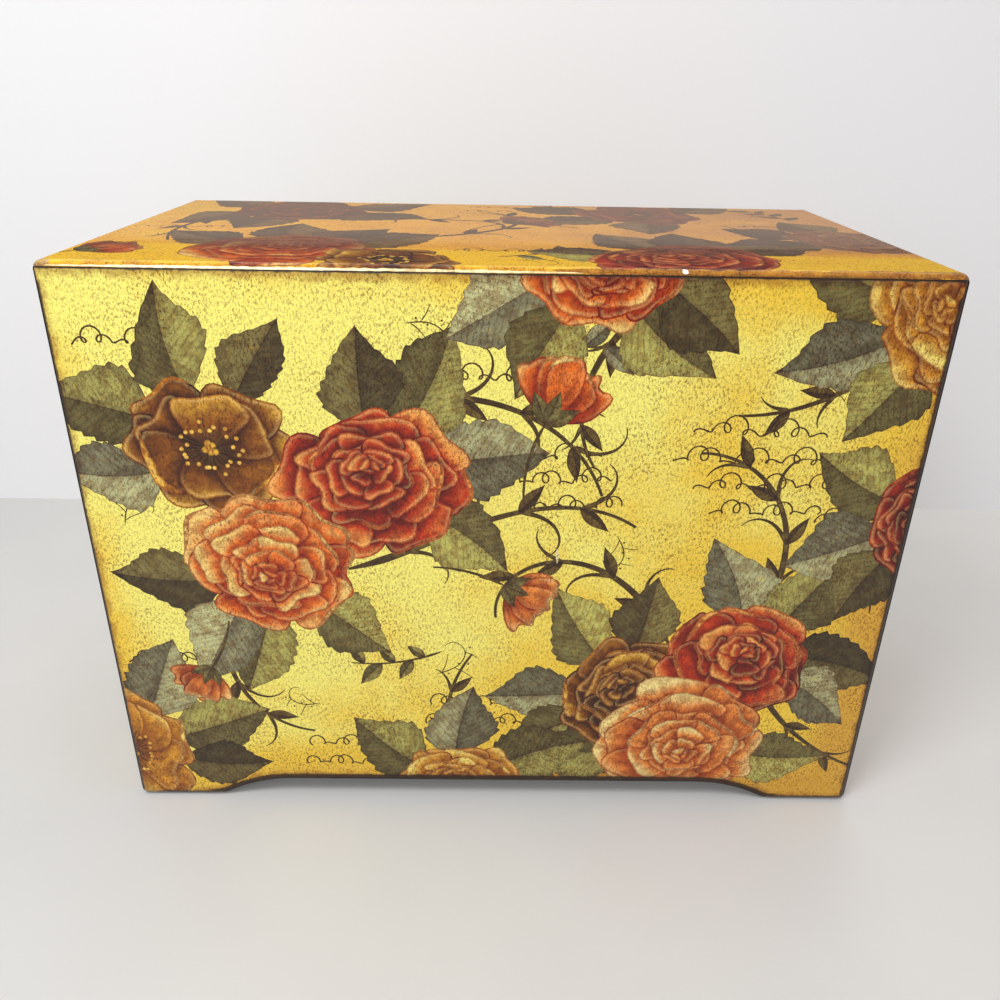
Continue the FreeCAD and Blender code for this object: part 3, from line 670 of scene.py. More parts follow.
def draw_apron(page):
    """The strip under the drawers: a vine with small leaves."""
    for x in range(-130, 131, 26):
        page.stroke((x - 14, 13.5), 0.2, 28, -0.014, 1.3, 0.9, VINE)
        page.leaf(x, 14, 32, 13, 3.4, OLIVE, 0.1, 1)
        page.leaf(x + 9, 13, -30, 12, 3.2, SAGE, 0.1, -1)
        page.leaf(x + 15, 15, 150, 10, 2.8, OLIVE, 0.1, 1)


# The print: cut to its sheet, painted and folded

def arch_height(inward):
    """Height of the cut-out in the foot of a board, so far in from the case's corner."""
    reach = ARCH_ROUND + TOE_ROUND
    run = math.sqrt(reach ** 2 - (reach - ARCH_HIGH) ** 2)
    past = inward - FOOT
    if past <= 0:
        return 0.0
    if past < TOE_ROUND * run / reach:
        return TOE_ROUND - math.sqrt(TOE_ROUND ** 2 - past ** 2)
    if past < run:
        return ARCH_HIGH - ARCH_ROUND + math.sqrt(ARCH_ROUND ** 2 - (run - past) ** 2)
    return ARCH_HIGH


class Wall:
    """Where a flat sheet lies on the case: its axes, and the flat part that its edges bend away from."""

    def __init__(self, origin, across, up, flat):
        self.origin = Vector(origin)
        self.across = Vector(across)
        self.up = Vector(up)
        self.out = self.across.cross(self.up)
        self.flat = flat

    def beyond(self, a, b):
        a_low, a_high, b_low, b_high = self.flat
        return Vector((max(a - a_high, 0) + min(a - a_low, 0), max(b - b_high, 0) + min(b - b_low, 0)))

    def unfold(self, a, b):
        """The flat place of a point that is seen straight on at (a, b)."""
        past = self.beyond(a, b)
        if past.length < 1e-9:
            return Vector((a, b))
        arc = EDGE_ROUND * math.asin(min(past.length / EDGE_ROUND, 1.0))
        return Vector((a, b)) + past * (arc / past.length - 1)

    def fold(self, a, b, deep):
        """The place and the outward direction of a flat point, so deep under the paper's face."""
        past = self.beyond(a, b)
        spot = Vector((a, b)) - past
        if past.length < 1e-9:
            turn = 0.0
            way = Vector((0, 0))
        else:
            turn = past.length / EDGE_ROUND
            way = past / past.length
        spot = spot + way * ((EDGE_ROUND - deep) * math.sin(turn))
        sunk = EDGE_ROUND - (EDGE_ROUND - deep) * math.cos(turn)
        place = self.origin + self.across * spot.x + self.up * spot.y - self.out * sunk
        normal = self.out * math.cos(turn) + (self.across * way.x + self.up * way.y) * math.sin(turn)
        return place * MM, normal


def footed_outline(wall, a_low, a_high, b_low, b_high, corner_low, corner_high):
    """A sheet with the arch cut in its foot. The corners of the case tell where the arch starts."""
    steps = 14
    run = math.sqrt((ARCH_ROUND + TOE_ROUND) ** 2 - (ARCH_ROUND + TOE_ROUND - ARCH_HIGH) ** 2)
    foot = [FOOT + run * i / steps for i in range(steps + 1)]
    points = [(a_low, b_low)]
    points += [(corner_low + u, b_low + arch_height(u)) for u in foot]
    points += [(corner_high - u, b_low + arch_height(u)) for u in reversed(foot)]
    points += [(a_high, b_low), (a_high, wall.flat[3]), (a_high, b_high), (wall.flat[1], b_high)]
    points += [(wall.flat[0], b_high), (a_low, b_high), (a_low, wall.flat[3])]
    kept = [p for i, p in enumerate(points) if p != points[i - 1]]
    return [wall.unfold(*p) for p in kept]


def wrapped_outline(wall, wrap):
    """The top sheet, which bends down all round by the wrap."""
    reach = EDGE_ROUND * math.acos(1 - wrap / EDGE_ROUND)
    a_low, a_high, b_low, b_high = wall.flat
    corners = [(a_high, b_low, -90), (a_high, b_high, 0), (a_low, b_high, 90), (a_low, b_low, 180)]
    points = []
    for a, b, start in corners:
        for i in range(7):
            points.append(Vector((a, b)) + heading(math.radians(start + 15 * i)) * reach)
    return points


def distance_to(points, outline):
    """The least distance from each point to an outline, both as arrays."""
    starts = outline
    steps = np.roll(outline, -1, axis=0) - outline
    squares = np.maximum((steps ** 2).sum(1), 1e-12)
    ahead = points[:, None, :] - starts[None]
    share = np.clip((ahead * steps[None]).sum(2) / squares[None], 0, 1)
    return np.sqrt(((ahead - share[..., None] * steps[None]) ** 2).sum(2).min(1))


def blend_inks(inks, light):
    deep, plain, pale = [np.array(c) for c in inks]
    light = np.clip(light, 0, 1)[:, None]
    dark_half = deep + (plain - deep) * np.clip(light * 2, 0, 1)
    return dark_half + (pale - plain) * np.clip(light * 2 - 1, 0, 1)


def paint(patch, points, cover):
    """The colour of the shape at each point, and its pen values: edge, line, strength, rim."""
    axis = np.array(patch.tip - patch.root)
    length = max(float(np.hypot(*axis)), 1e-6)
    axis = axis / length
    ahead = points - np.array(patch.root)
    along = ahead @ axis
    aside = ahead @ np.array((-axis[1], axis[0]))
    share = np.clip(along / length, 0, 1)
    edge = distance_to(points, patch.line)
    nothing = np.zeros(len(points))
    if patch.kind == "petal":
        light = 0.12 + patch.light + 0.85 * share ** 1.4 - 0.7 * np.exp(-cover / 3.0)
        light += 0.16 * np.clip(aside / patch.half, -1, 1)
        line = np.arctan2(aside, along + 0.25 * length) * 26
        pen = [edge, line, np.clip(1.15 - 1.1 * share, 0, 1), np.clip(1.6 * share - 0.5, 0, 1)]
    elif patch.kind == "leaf":
        light = 0.24 + patch.light + 0.12 * share + 0.22 * np.clip(edge / 5, 0, 1)
        line = (along - np.abs(aside) * 0.9) * (TAU / 2.6)
        pen = [edge + 0.28, line, nothing + 0.6, nothing]
    # brush lines, worn bands and the painted highlight: a little lighter inside than at their edges
    elif patch.kind in ("stroke", "worn", "cream"):
        light = nothing + 0.25 + patch.light + 0.5 * np.clip(edge / 0.5, 0, 1)
        pen = [nothing + 9, nothing, nothing, nothing]
    else:
        light = nothing + 0.5
        pen = [nothing + 9, nothing, nothing, nothing]
    return blend_inks(patch.inks, light), np.stack(pen, 1)


def cover_distance(patches, index, points):
    """How far each point is from the shapes of the same bloom that lie over this one."""
    here = patches[index]
    low = here.line.min(0) - 5
    high = here.line.max(0) + 5
    found = []
    for other in patches[index + 1:]:
        if other.group != here.group:
            break
        if other.kind == "petal" and (other.line.max(0) > low).all() and (other.line.min(0) < high).all():
            found.append(other.line)
    if not found:
        return np.full(len(points), 9.0)
    line = np.concatenate(found)
    least = np.full(len(points), 81.0)
    for start in range(0, len(line), 400):
        part = line[start:start + 400]
        least = np.minimum(least, ((points[:, None] - part[None]) ** 2).sum(2).min(1))
    return np.sqrt(least)


def triangulate(page, outline, wall, hole):
    """Cuts the sheet along every painted shape. Gives points, triangles and each one's top shape."""
    points = []
    faces = []
    edges = []

    def closed(line):
        first = len(points)
        points.extend(Vector(p) for p in line)
        faces.append(list(range(first, len(points))))

    closed(outline)
    for patch in page.patches:
        closed(patch.line)
        points.extend(patch.inner_points())
    if hole:
        closed([Vector(hole) + heading(TAU * i / 24) * SCREW_HOLE for i in range(24)])
    a_low = min(p.x for p in outline)
    a_high = max(p.x for p in outline)
    b_low = min(p.y for p in outline)
    b_high = max(p.y for p in outline)
    draw = page.random
    gap = 7.0
    for i in range(int((a_high - a_low) / gap)):
        for j in range(int((b_high - b_low) / gap)):
            place = (a_low + gap * (i + draw.random()), b_low + gap * (j + draw.random()))
            points.append(Vector(place))
    for ring in (0.5, 1.5, 3.5):
        for side in range(4):
            for i in range(48):
                share = (i + 0.5) / 48
                a = (a_low + (a_high - a_low) * share, a_high - ring, share, a_low + ring)[side]
                b = (b_low + ring, share, b_high - ring, share)[side]
                if side in (1, 3):
                    b = b_low + (b_high - b_low) * share
                if side == 2:
                    a = a_low + (a_high - a_low) * share
                points.append(Vector((a, b)))
    if wall.flat[1] < FAR_FLAT:
        for k in range(7):
            past = 0.57 * k
            lines = [
                ((a_low - 1, wall.flat[2] - past), (a_high + 1, wall.flat[2] - past)),
                ((a_low - 1, wall.flat[3] + past), (a_high + 1, wall.flat[3] + past)),
                ((wall.flat[0] - past, b_low - 1), (wall.flat[0] - past, b_high + 1)),
                ((wall.flat[1] + past, b_low - 1), (wall.flat[1] + past, b_high + 1)),
            ]
            for start, end in lines:
                count = 24
                for i in range(count + 1):
                    points.append(Vector(start).lerp(Vector(end), i / count))
                    if i:
                        edges.append((len(points) - 2, len(points) - 1))
    made = delaunay_2d_cdt(points, edges, faces, 1, 1e-4, True)
    flat = np.array([tuple(p) for p in made[0]])
    triangles = []
    owners = []
    last = len(page.patches)
    for corners, inside in zip(made[2], made[5]):
        if 0 in inside and max(inside) <= last:
            triangles.append(corners)
            owners.append(max(inside) - 1)
    return flat, np.array(triangles), np.array(owners)


def outer_loops(triangles):
    """The edges of the sheet, in order, each loop as a list of points."""
    count = {}
    for a, b, c in triangles:
        for edge in ((a, b), (b, c), (c, a)):
            count[edge] = 1
    follow = {}
    for start, end in count:
        if (end, start) not in count:
            follow[start] = end
    loops = []
    while follow:
        start, place = follow.popitem()
        loop = [start]
        while place != start:
            loop.append(place)
            place = follow.pop(place)
        loops.append(loop)
    return loops


def corner_values(mesh, name, kind, field, printed, plain, rest):
    """Stores one value for each corner: those of the printed face, then a plain one for the rest."""
    made = mesh.attributes.new(name, kind, "CORNER")
    made.data.foreach_set(field, np.concatenate([printed.ravel(), np.tile(plain, rest)]))


def print_sheet(node, wall, outline, page, material, hole=None):
    """The sheet as a closed thin mesh with its painted face outwards, bent over the case's edges."""
    flat, triangles, owners = triangulate(page, outline, wall, hole)
    first = flat[triangles[:, 1]] - flat[triangles[:, 0]]
    second = flat[triangles[:, 2]] - flat[triangles[:, 0]]
    area = first[:, 0] * second[:, 1] - first[:, 1] * second[:, 0]
    triangles[area < 0] = triangles[area < 0][:, ::-1]
    sound = np.flatnonzero(np.abs(area) > 1e-7)
    sound = sound[np.argsort(owners[sound], kind="stable")]
    owners = owners[sound]
    used, triangles = np.unique(triangles[sound], return_inverse=True)
    triangles = triangles.reshape(-1, 3)
    flat = flat[used]
    colour = np.zeros((len(triangles), 3, 4))
    pen = np.tile((9.0, 0.0, 0.0, 0.0), (len(triangles), 3, 1))
    bounds = np.searchsorted(owners, np.arange(len(page.patches) + 1))
    for index, patch in enumerate(page.patches):
        mine = slice(bounds[index], bounds[index + 1])
        corners, back = np.unique(triangles[mine], return_inverse=True)
        if len(corners):
            points = flat[corners]
            cover = cover_distance(page.patches, index, points)
            inks, strokes = paint(patch, points, cover)
            back = back.reshape(-1, 3)
            colour[mine, :, :3] = inks[back]
            # chips and the painted highlight get no specks or rubbing over them
            colour[mine, :, 3] = {"chip": 2.0, "cream": 2.0, "worn": 0.72}.get(patch.kind, 1.0)
            pen[mine] = strokes[back]
    border = np.minimum(distance_to(flat, np.array([tuple(p) for p in outline])), 30.0)[triangles]
    places = []
    normals = []
    for a, b in flat:
        place, normal = wall.fold(a, b, 0.0)
        places.append(place)
        normals.append(normal)
    faces = [tuple(t) for t in triangles.tolist()]
    face_normals = [[normals[i] for i in t] for t in faces]
    printed = len(faces)
    for loop in outer_loops(faces):
        under = {}
        for i in loop:
            place, normal = wall.fold(*flat[i], PAPER)
            under[i] = len(places)
            places.append(place)
        for i, start in enumerate(loop):
            end = loop[(i + 1) % len(loop)]
            side = (places[start] - places[end]).cross(places[under[end]] - places[end])
            faces.append((start, under[start], under[end], end))
            face_normals.append([side.normalized() * -1] * 4)
    mesh = bpy.data.meshes.new(node)
    mesh.from_pydata(places, [], faces)
    rest = len(mesh.loops) - printed * 3
    edge_colour = (*srgb("#8a6a3a"), 1.0)
    corner_values(mesh, "ink", "FLOAT_COLOR", "color", colour, edge_colour, rest)
    corner_values(mesh, "pen", "FLOAT_COLOR", "color", pen, (9, 0, 0, 0), rest)
    corner_values(mesh, "border", "FLOAT", "value", border, (0,), rest)
    mesh.polygons.foreach_set("use_smooth", [True] * len(faces))
    mesh.normals_split_custom_set([tuple(n) for face in face_normals for n in face])
    mesh.materials.append(material)
    sheet = bpy.data.objects.new(node + "_print", mesh)
    bpy.context.scene.collection.objects.link(sheet)
    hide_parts(node)
    return sheet


def printed_paper(name, lemon, gold, tan, browned, rim_browned, painted_front_light, motifs_painted_shade, edge_stain):
    """Offset-printed gilt paper, crackled and rubbed, under a thick clear lacquer with a soft haze.

    The ground goes from lemon to gold and tan, more so low down, to the right and near the borders.
    On the lid, away from a strip along the front kept bright as painted light, the ground is pushed to tan and the
    motifs darkened and greyed: painted shade and a painted reflection haze.
    """
    material, tree, shader, place = new_material(name)
    ink = add(tree, "ShaderNodeAttribute", attribute_name="ink")
    pen = add(tree, "ShaderNodeAttribute", attribute_name="pen")
    border = add(tree, "ShaderNodeAttribute", attribute_name="border").outputs["Fac"]
    parts = add(tree, "ShaderNodeSeparateColor", {0: pen.outputs["Color"]})
    edge, line, strength = parts.outputs[0], parts.outputs[1], parts.outputs[2]
    rim = pen.outputs["Alpha"]

    # gilt ground: lemon and gold drifts, tanner lower down, to the right and near the borders; on the lid the tan
    # away from the front strip is painted shade
    axes = add(tree, "ShaderNodeSeparateXYZ", {0: place}).outputs
    lean = maths(tree, "ADD", maths(tree, "MULTIPLY", axes[0], 2.9), maths(tree, "MULTIPLY", axes[2], -3.4))
    lean = maths(tree, "ADD", lean, maths(tree, "MULTIPLY", noise(tree, place, 34, 4, 0.6), 1.1))
    near = maths(tree, "MULTIPLY", band(tree, maths(tree, "MULTIPLY", border, -1.0), -26, 0), rim_browned)
    # browned is an even shift to tan: slight on the faces, and painted shade on the lid
    lean = maths(tree, "ADD", maths(tree, "ADD", lean, near), browned)
    # painted light: on the lid a strip along the front stays bright lemon, and the ground behind it goes tan as
    # painted shade
    strip = band(tree, maths(tree, "MULTIPLY", axes[1], -1.0), 0.048, 0.064)
    lean = maths(tree, "SUBTRACT", lean, maths(tree, "MULTIPLY", strip, painted_front_light))
    ground = mix(tree, band(tree, lean, 0.05, 0.6), rgba(lemon), rgba(gold))
    ground = mix(tree, band(tree, lean, 0.55, 1.25), ground, rgba(tan))

    # petals and leaves: fanned brush lines, a pale rim and a dark outline
    wobble = noise(tree, place, 2.2, 3)
    waver = maths(tree, "MULTIPLY", maths(tree, "SUBTRACT", wobble, 0.5), 6.0)
    wave = maths(tree, "SINE", maths(tree, "ADD", line, waver))
    hatch = maths(tree, "MULTIPLY", band(tree, wave, 0.2, 1.0), strength)
    motif = mix(tree, maths(tree, "MULTIPLY", hatch, 0.45), ink.outputs["Color"], rgba("#6a3c1a"), "MULTIPLY")
    pools = band(tree, noise(tree, place, 3.4, 4, 0.62), 0.42, 0.6)
    motif = mix(tree, maths(tree, "MULTIPLY", pools, 0.5), motif, rgba("#a06a3c"), "MULTIPLY")
    dabs = band(tree, noise(tree, place, 2.1, 4, 0.65), 0.54, 0.68)
    motif = mix(tree, maths(tree, "MULTIPLY", dabs, 0.5), motif, rgba("#ffd878"), "SOFT_LIGHT")
    shaken = maths(tree, "ADD", edge, maths(tree, "MULTIPLY", maths(tree, "SUBTRACT", wobble, 0.5), 0.9))
    lit = maths(tree, "SUBTRACT", band(tree, shaken, 0.5, 0.9), band(tree, shaken, 0.9, 2.2))
    motif = mix(tree, maths(tree, "MULTIPLY", maths(tree, "MULTIPLY", lit, rim), 0.3), motif, rgba("#fbd68a"))
    outline = maths(tree, "SUBTRACT", 1.0, band(tree, shaken, 0.15, 0.75))
    motif = mix(tree, maths(tree, "MULTIPLY", outline, 0.75), motif, rgba("#a04c26"), "MULTIPLY")
    # painted shade and painted reflection haze: on the lid the motifs behind the front strip are darkened and greyed
    painted_shade = maths(tree, "MULTIPLY", maths(tree, "SUBTRACT", 1.0, strip), motifs_painted_shade)
    motif = mix(tree, maths(tree, "MULTIPLY", painted_shade, 0.5), motif, rgba("#7a5a48"))
    motif = mix(tree, painted_shade, motif, rgba("#b48a6c"), "MULTIPLY")
    colour = mix(tree, ink.outputs["Alpha"], ground, motif)
    covered = maths(tree, "SUBTRACT", 1.0, band(tree, ink.outputs["Alpha"], 1.0, 2.0))

    # dark flecks about half a millimetre across, denser in drifts, and a finer grit
    drawn = add(tree, "ShaderNodeMapping", {
        "Vector": place, "Rotation": (0.0, 0.45, 0.0), "Scale": (1.0, 0.8, 0.55),
    }).outputs[0]
    speck = band(tree, noise(tree, drawn, 0.7, 2.5, 0.7), 0.5, 0.62)
    grit = band(tree, noise(tree, place, 0.36, 1.5), 0.5, 0.64)
    patchy = band(tree, noise(tree, place, 15, 3, 0.6), 0.32, 0.68)
    speck = maths(tree, "MULTIPLY", speck, maths(tree, "ADD", maths(tree, "MULTIPLY", patchy, 0.45), 0.3))
    colour = mix(tree, maths(tree, "MULTIPLY", speck, covered), colour, rgba("#82501a"), "MULTIPLY")
    grit = maths(tree, "MULTIPLY", maths(tree, "MULTIPLY", grit, 0.3), covered)
    colour = mix(tree, grit, colour, rgba("#8a6426"), "MULTIPLY")

    # rubbed brown along the borders
    ragged = maths(tree, "ADD", border, maths(tree, "MULTIPLY", noise(tree, place, 5, 4, 0.65), -7.0))
    rubbed = maths(tree, "SUBTRACT", 1.0, band(tree, ragged, -3.2, 0.2))
    rubbed = maths(tree, "MULTIPLY", maths(tree, "MULTIPLY", rubbed, 0.6), covered)
    colour = mix(tree, rubbed, colour, rgba("#9a5a1a"), "MULTIPLY")

    # the cut edges of the paper took up the dark stain of the boards
    soaked = maths(tree, "ADD", border, maths(tree, "MULTIPLY", noise(tree, place, 3, 4, 0.65), -1.6))
    upper = maths(tree, "MULTIPLY", band(tree, axes[2], 0.199, 0.202), 1.1)
    leftward = maths(tree, "MULTIPLY", band(tree, maths(tree, "MULTIPLY", axes[0], -1.0), 0.13, 0.136), 0.45)
    soaked = maths(tree, "ADD", soaked, maths(tree, "MAXIMUM", upper, leftward))
    foot = maths(tree, "MULTIPLY", band(tree, maths(tree, "MULTIPLY", axes[2], -1.0), -0.003, -0.001), 0.6)
    soaked = maths(tree, "ADD", soaked, foot)
    rightward = maths(tree, "MULTIPLY", band(tree, axes[0], 0.132, 0.138), 0.45)
    soaked = maths(tree, "SUBTRACT", soaked, rightward)
    soaked = maths(tree, "SUBTRACT", 1.0, band(tree, soaked, 0.1, 0.9))
    colour = mix(tree, maths(tree, "MULTIPLY", soaked, edge_stain), colour, rgba("#241206"))

    relief = add(tree, "ShaderNodeBump", {
        "Strength": 0.25, "Distance": 0.00015, "Height": noise(tree, place, 2.4, 4, 0.6),
    })
    swell = add(tree, "ShaderNodeBump", {
        "Strength": 0.2, "Distance": 0.0006, "Height": noise(tree, place, 24, 2),
    })
    rough = add(tree, "ShaderNodeMapRange", {
        "Value": noise(tree, place, 8, 4), "To Min": 0.42, "To Max": 0.6,
    })
    tree.links.new(colour, shader.inputs["Base Color"])
    tree.links.new(rough.outputs[0], shader.inputs["Roughness"])
    tree.links.new(relief.outputs[0], shader.inputs["Normal"])
    tree.links.new(swell.outputs[0], shader.inputs["Coat Normal"])
    shader.inputs["IOR"].default_value = 1.5
    shader.inputs["Specular IOR Level"].default_value = 0.15
    shader.inputs["Coat Weight"].default_value = 0.75
    shader.inputs["Coat Roughness"].default_value = 0.09
    shader.inputs["Coat IOR"].default_value = 1.42
    return material


# Boards, felt and metal

def stained_board():
    """Fibre board stained nearly black-brown and sealed: flat and faintly mottled, satin."""
    material, tree, shader, place = new_material("dark_stained_fibreboard")
    cloudy = noise(tree, place, 9, 4, 0.6)
    colour = mix(tree, band(tree, cloudy, 0.35, 0.7), rgba("#1d110a"), rgba("#33200f"))
    fibre = band(tree, noise(tree, place, 0.7, 2), 0.56, 0.7)
    colour = mix(tree, maths(tree, "MULTIPLY", fibre, 0.35), colour, rgba("#4a3018"))
    relief = add(tree, "ShaderNodeBump", {
        "Strength": 0.25, "Distance": 0.0001, "Height": noise(tree, place, 0.8, 3),
    })
    tree.links.new(colour, shader.inputs["Base Color"])
    tree.links.new(relief.outputs[0], shader.inputs["Normal"])
    shader.inputs["Roughness"].default_value = 0.46
    return material


def limewood(name, along):
    """Planed limewood, stained walnut brown under a thin lacquer: straight grain along one axis."""
    material, tree, shader, place = new_material(name)
    drawn = [1.0, 1.0, 1.0]
    drawn[along] = 0.05
    long = add(tree, "ShaderNodeMapping", {"Vector": place, "Scale": drawn}).outputs[0]
    grain = noise(tree, long, 2.2, 5, 0.6)
    colour = mix(tree, band(tree, grain, 0.35, 0.68), rgba("#7c5432"), rgba("#a67a4e"))
    drawn[along] = 0.12
    pores = add(tree, "ShaderNodeMapping", {"Vector": place, "Scale": drawn}).outputs[0]
    pore = band(tree, noise(tree, pores, 0.35, 2), 0.62, 0.72)
    colour = mix(tree, maths(tree, "MULTIPLY", pore, 0.45), colour, rgba("#55361e"))
    relief = add(tree, "ShaderNodeBump", {"Strength": 0.2, "Distance": 0.0001, "Height": grain})
    tree.links.new(colour, shader.inputs["Base Color"])
    tree.links.new(relief.outputs[0], shader.inputs["Normal"])
    shader.inputs["Roughness"].default_value = 0.42
    return material


def felt(name, dark, light, fuzz):
    """Pressed wool felt or cut velvet: matte, cloudy, with a pale fuzz at a glancing view."""
    material, tree, shader, place = new_material(name)
    cloudy = noise(tree, place, 7, 4, 0.6)
    colour = mix(tree, band(tree, cloudy, 0.3, 0.7), rgba(dark), rgba(light))
    fibre = noise(tree, place, 0.5, 3, 0.7)
    colour = mix(tree, maths(tree, "MULTIPLY", band(tree, fibre, 0.5, 0.7), 0.4), colour, rgba(light))
    relief = add(tree, "ShaderNodeBump", {"Strength": 0.5, "Distance": 0.0002, "Height": fibre})
    tree.links.new(colour, shader.inputs["Base Color"])
    tree.links.new(relief.outputs[0], shader.inputs["Normal"])
    shader.inputs["Roughness"].default_value = 0.95
    shader.inputs["Sheen Weight"].default_value = fuzz
    shader.inputs["Sheen Roughness"].default_value = 0.4
    shader.inputs["Sheen Tint"].default_value = rgba("#d86a62")
    return material


def antique_brass():
    """Cast and turned brass, browned in its hollows and rubbed bright on its rims."""
    material, tree, shader, place = new_material("antique_brass")
    stain = band(tree, noise(tree, place, 1.6, 4, 0.6), 0.35, 0.7)
    point = add(tree, "ShaderNodeNewGeometry").outputs["Pointiness"]
    rubbed = band(tree, point, 0.48, 0.56)
    colour = mix(tree, stain, rgba("#80602e"), rgba("#b38c48"))
    colour = mix(tree, rubbed, colour, rgba("#e2bc74"))
    rough = add(tree, "ShaderNodeMapRange", {"Value": stain, "To Min": 0.34, "To Max": 0.19})
    tree.links.new(colour, shader.inputs["Base Color"])
    tree.links.new(rough.outputs[0], shader.inputs["Roughness"])
    shader.inputs["Metallic"].default_value = 1.0
    return material


def screw_steel():
    """Zinc-plated steel: cool grey with a faint straw cast, finely scratched."""
    material, tree, shader, place = new_material("zinc_plated_steel")
    colour = mix(tree, band(tree, noise(tree, place, 1.2, 3), 0.3, 0.7), rgba("#9a9a94"), rgba("#bdbab0"))
    rough = add(tree, "ShaderNodeMapRange", {
        "Value": noise(tree, place, 0.6, 3), "To Min": 0.22, "To Max": 0.42,
    })
    tree.links.new(colour, shader.inputs["Base Color"])
    tree.links.new(rough.outputs[0], shader.inputs["Roughness"])
    shader.inputs["Metallic"].default_value = 1.0
    return material


# The camera at the photograph's place, from a solve on the case's seven visible corners

def place_camera():
    data = bpy.data.cameras.new("photo_camera")
    data.lens = 31.195
    data.sensor_width = 36.0
    pitch, roll, yaw = 0.444, 0.0177, -0.0122
    level = Vector((math.cos(yaw), math.sin(yaw), 0))
    ahead = Vector((-math.sin(yaw), math.cos(yaw), 0))
    upward = Vector((0, 0, 1))
    forward = ahead * math.cos(pitch) - upward * math.sin(pitch)
    over = ahead * math.sin(pitch) + upward * math.cos(pitch)
    right = level * math.cos(roll) + over * math.sin(roll)
    top = over * math.cos(roll) - level * math.sin(roll)
    camera = bpy.data.objects.new("photo_camera", data)
    bpy.context.scene.collection.objects.link(camera)
    turn = Matrix((right, top, -forward)).transposed().to_4x4()
    camera.matrix_world = Matrix.Translation(Vector((-3.2, -344.4, 254.9)) * MM) @ turn
    bpy.context.scene.camera = camera


# Stage and light

WALL_AT = 0.185
MIRROR_LOW = 0.205
MIRROR_EDGE = 0.243
MIRROR_HIGH = 0.3


def flat_card(name, corners, material):
    mesh = bpy.data.meshes.new(name)
    mesh.from_pydata(corners, [], [(0, 1, 2, 3)])
    mesh.materials.append(material)
    card = bpy.data.objects.new(name, mesh)
    bpy.context.scene.collection.objects.link(card)
    return card


def pale_table():
    material, tree, shader, place = new_material("pale_painted_table")
    colour = mix(tree, noise(tree, place, 60, 2), rgba("#cbcac9"), rgba("#d2d1cf"))
    tree.links.new(colour, shader.inputs["Base Color"])
    tree.links.new(colour, shader.inputs["Emission Color"])
    lift = maths(tree, "MULTIPLY", seen(tree), 0.09)
    tree.links.new(lift, shader.inputs["Emission Strength"])
    shader.inputs["Roughness"].default_value = 0.55
    return material


def one_sided(name, front):
    """A material that shows only on the card's face, so that views from behind see past it."""
    material = bpy.data.materials.new(name)
    material.use_nodes = True
    tree = material.node_tree
    tree.nodes.clear()
    face = front(tree)
    clear = add(tree, "ShaderNodeBsdfTransparent")
    behind = add(tree, "ShaderNodeNewGeometry").outputs["Backfacing"]
    both = add(tree, "ShaderNodeMixShader", {0: behind, 1: face.outputs[0], 2: clear.outputs[0]})
    add(tree, "ShaderNodeOutputMaterial", {"Surface": both.outputs[0]})
    return material


def seen(tree):
    """1 where the background is looked at, straight or in a mirror or glass."""
    path = add(tree, "ShaderNodeLightPath").outputs
    mirrored = maths(tree, "MAXIMUM", path["Is Glossy Ray"], path["Is Transmission Ray"])
    return maths(tree, "MAXIMUM", path["Is Camera Ray"], mirrored)


def glowing(tree, colour, lift):
    """A matte surface, a little brighter where it is looked at."""
    matte = add(tree, "ShaderNodeBsdfDiffuse", {"Color": colour})
    glow = add(tree, "ShaderNodeEmission", {"Color": colour, "Strength": maths(tree, "MULTIPLY", seen(tree), lift)})
    return add(tree, "ShaderNodeAddShader", {0: matte.outputs[0], 1: glow.outputs[0]})


def wall_card(name, low, high, material):
    far = 3.0
    card = flat_card(name, [
        (-far, WALL_AT, low), (far, WALL_AT, low), (far, WALL_AT, high), (-far, WALL_AT, high),
    ], material)
    card.visible_shadow = False
    card.visible_diffuse = False
    return card


def lay_stage():
    """A pale table and wall. Over the case's far edge the wall's own gloss is set by two hidden cards:
    a dull one below, and a dark one above, whose edge crosses the lid's mirror image near the front."""
    far = 3.0
    flat_card("table", [(-far, -far, 0), (far, -far, 0), (far, far, 0), (-far, far, 0)], pale_table())
    pale = one_sided("pale_wall", lambda tree: glowing(tree, rgba("#e9e9eb"), 0.1))
    wall_card("wall", 0.0, MIRROR_LOW, pale)
    wall_card("wall_middle", MIRROR_LOW, MIRROR_HIGH, pale).visible_glossy = False
    wall_card("wall_upper", MIRROR_HIGH, 2.0, pale)
    for name, low, high, strength in (
        ("dull_card", MIRROR_LOW, MIRROR_EDGE, 0.6), ("dark_card", MIRROR_EDGE, MIRROR_HIGH, 0.02),
    ):
        shine = one_sided(name, lambda tree: add(
            tree, "ShaderNodeEmission", {"Color": rgba("#e8d8c8"), "Strength": strength},
        ))
        card = wall_card(name, low, high, shine)
        card.visible_camera = False
        card.visible_transmission = False


def lamp(name, place, aim, size, power, colour="#ffffff"):
    data = bpy.data.lights.new(name, "AREA")
    data.shape = "RECTANGLE"
    data.size, data.size_y = size
    data.energy = power
    data.color = srgb(colour)
    light = bpy.data.objects.new(name, data)
    light.location = place
    light.rotation_euler = (Vector(aim) - Vector(place)).to_track_quat("-Z", "Y").to_euler()
    bpy.context.scene.collection.objects.link(light)
    return light


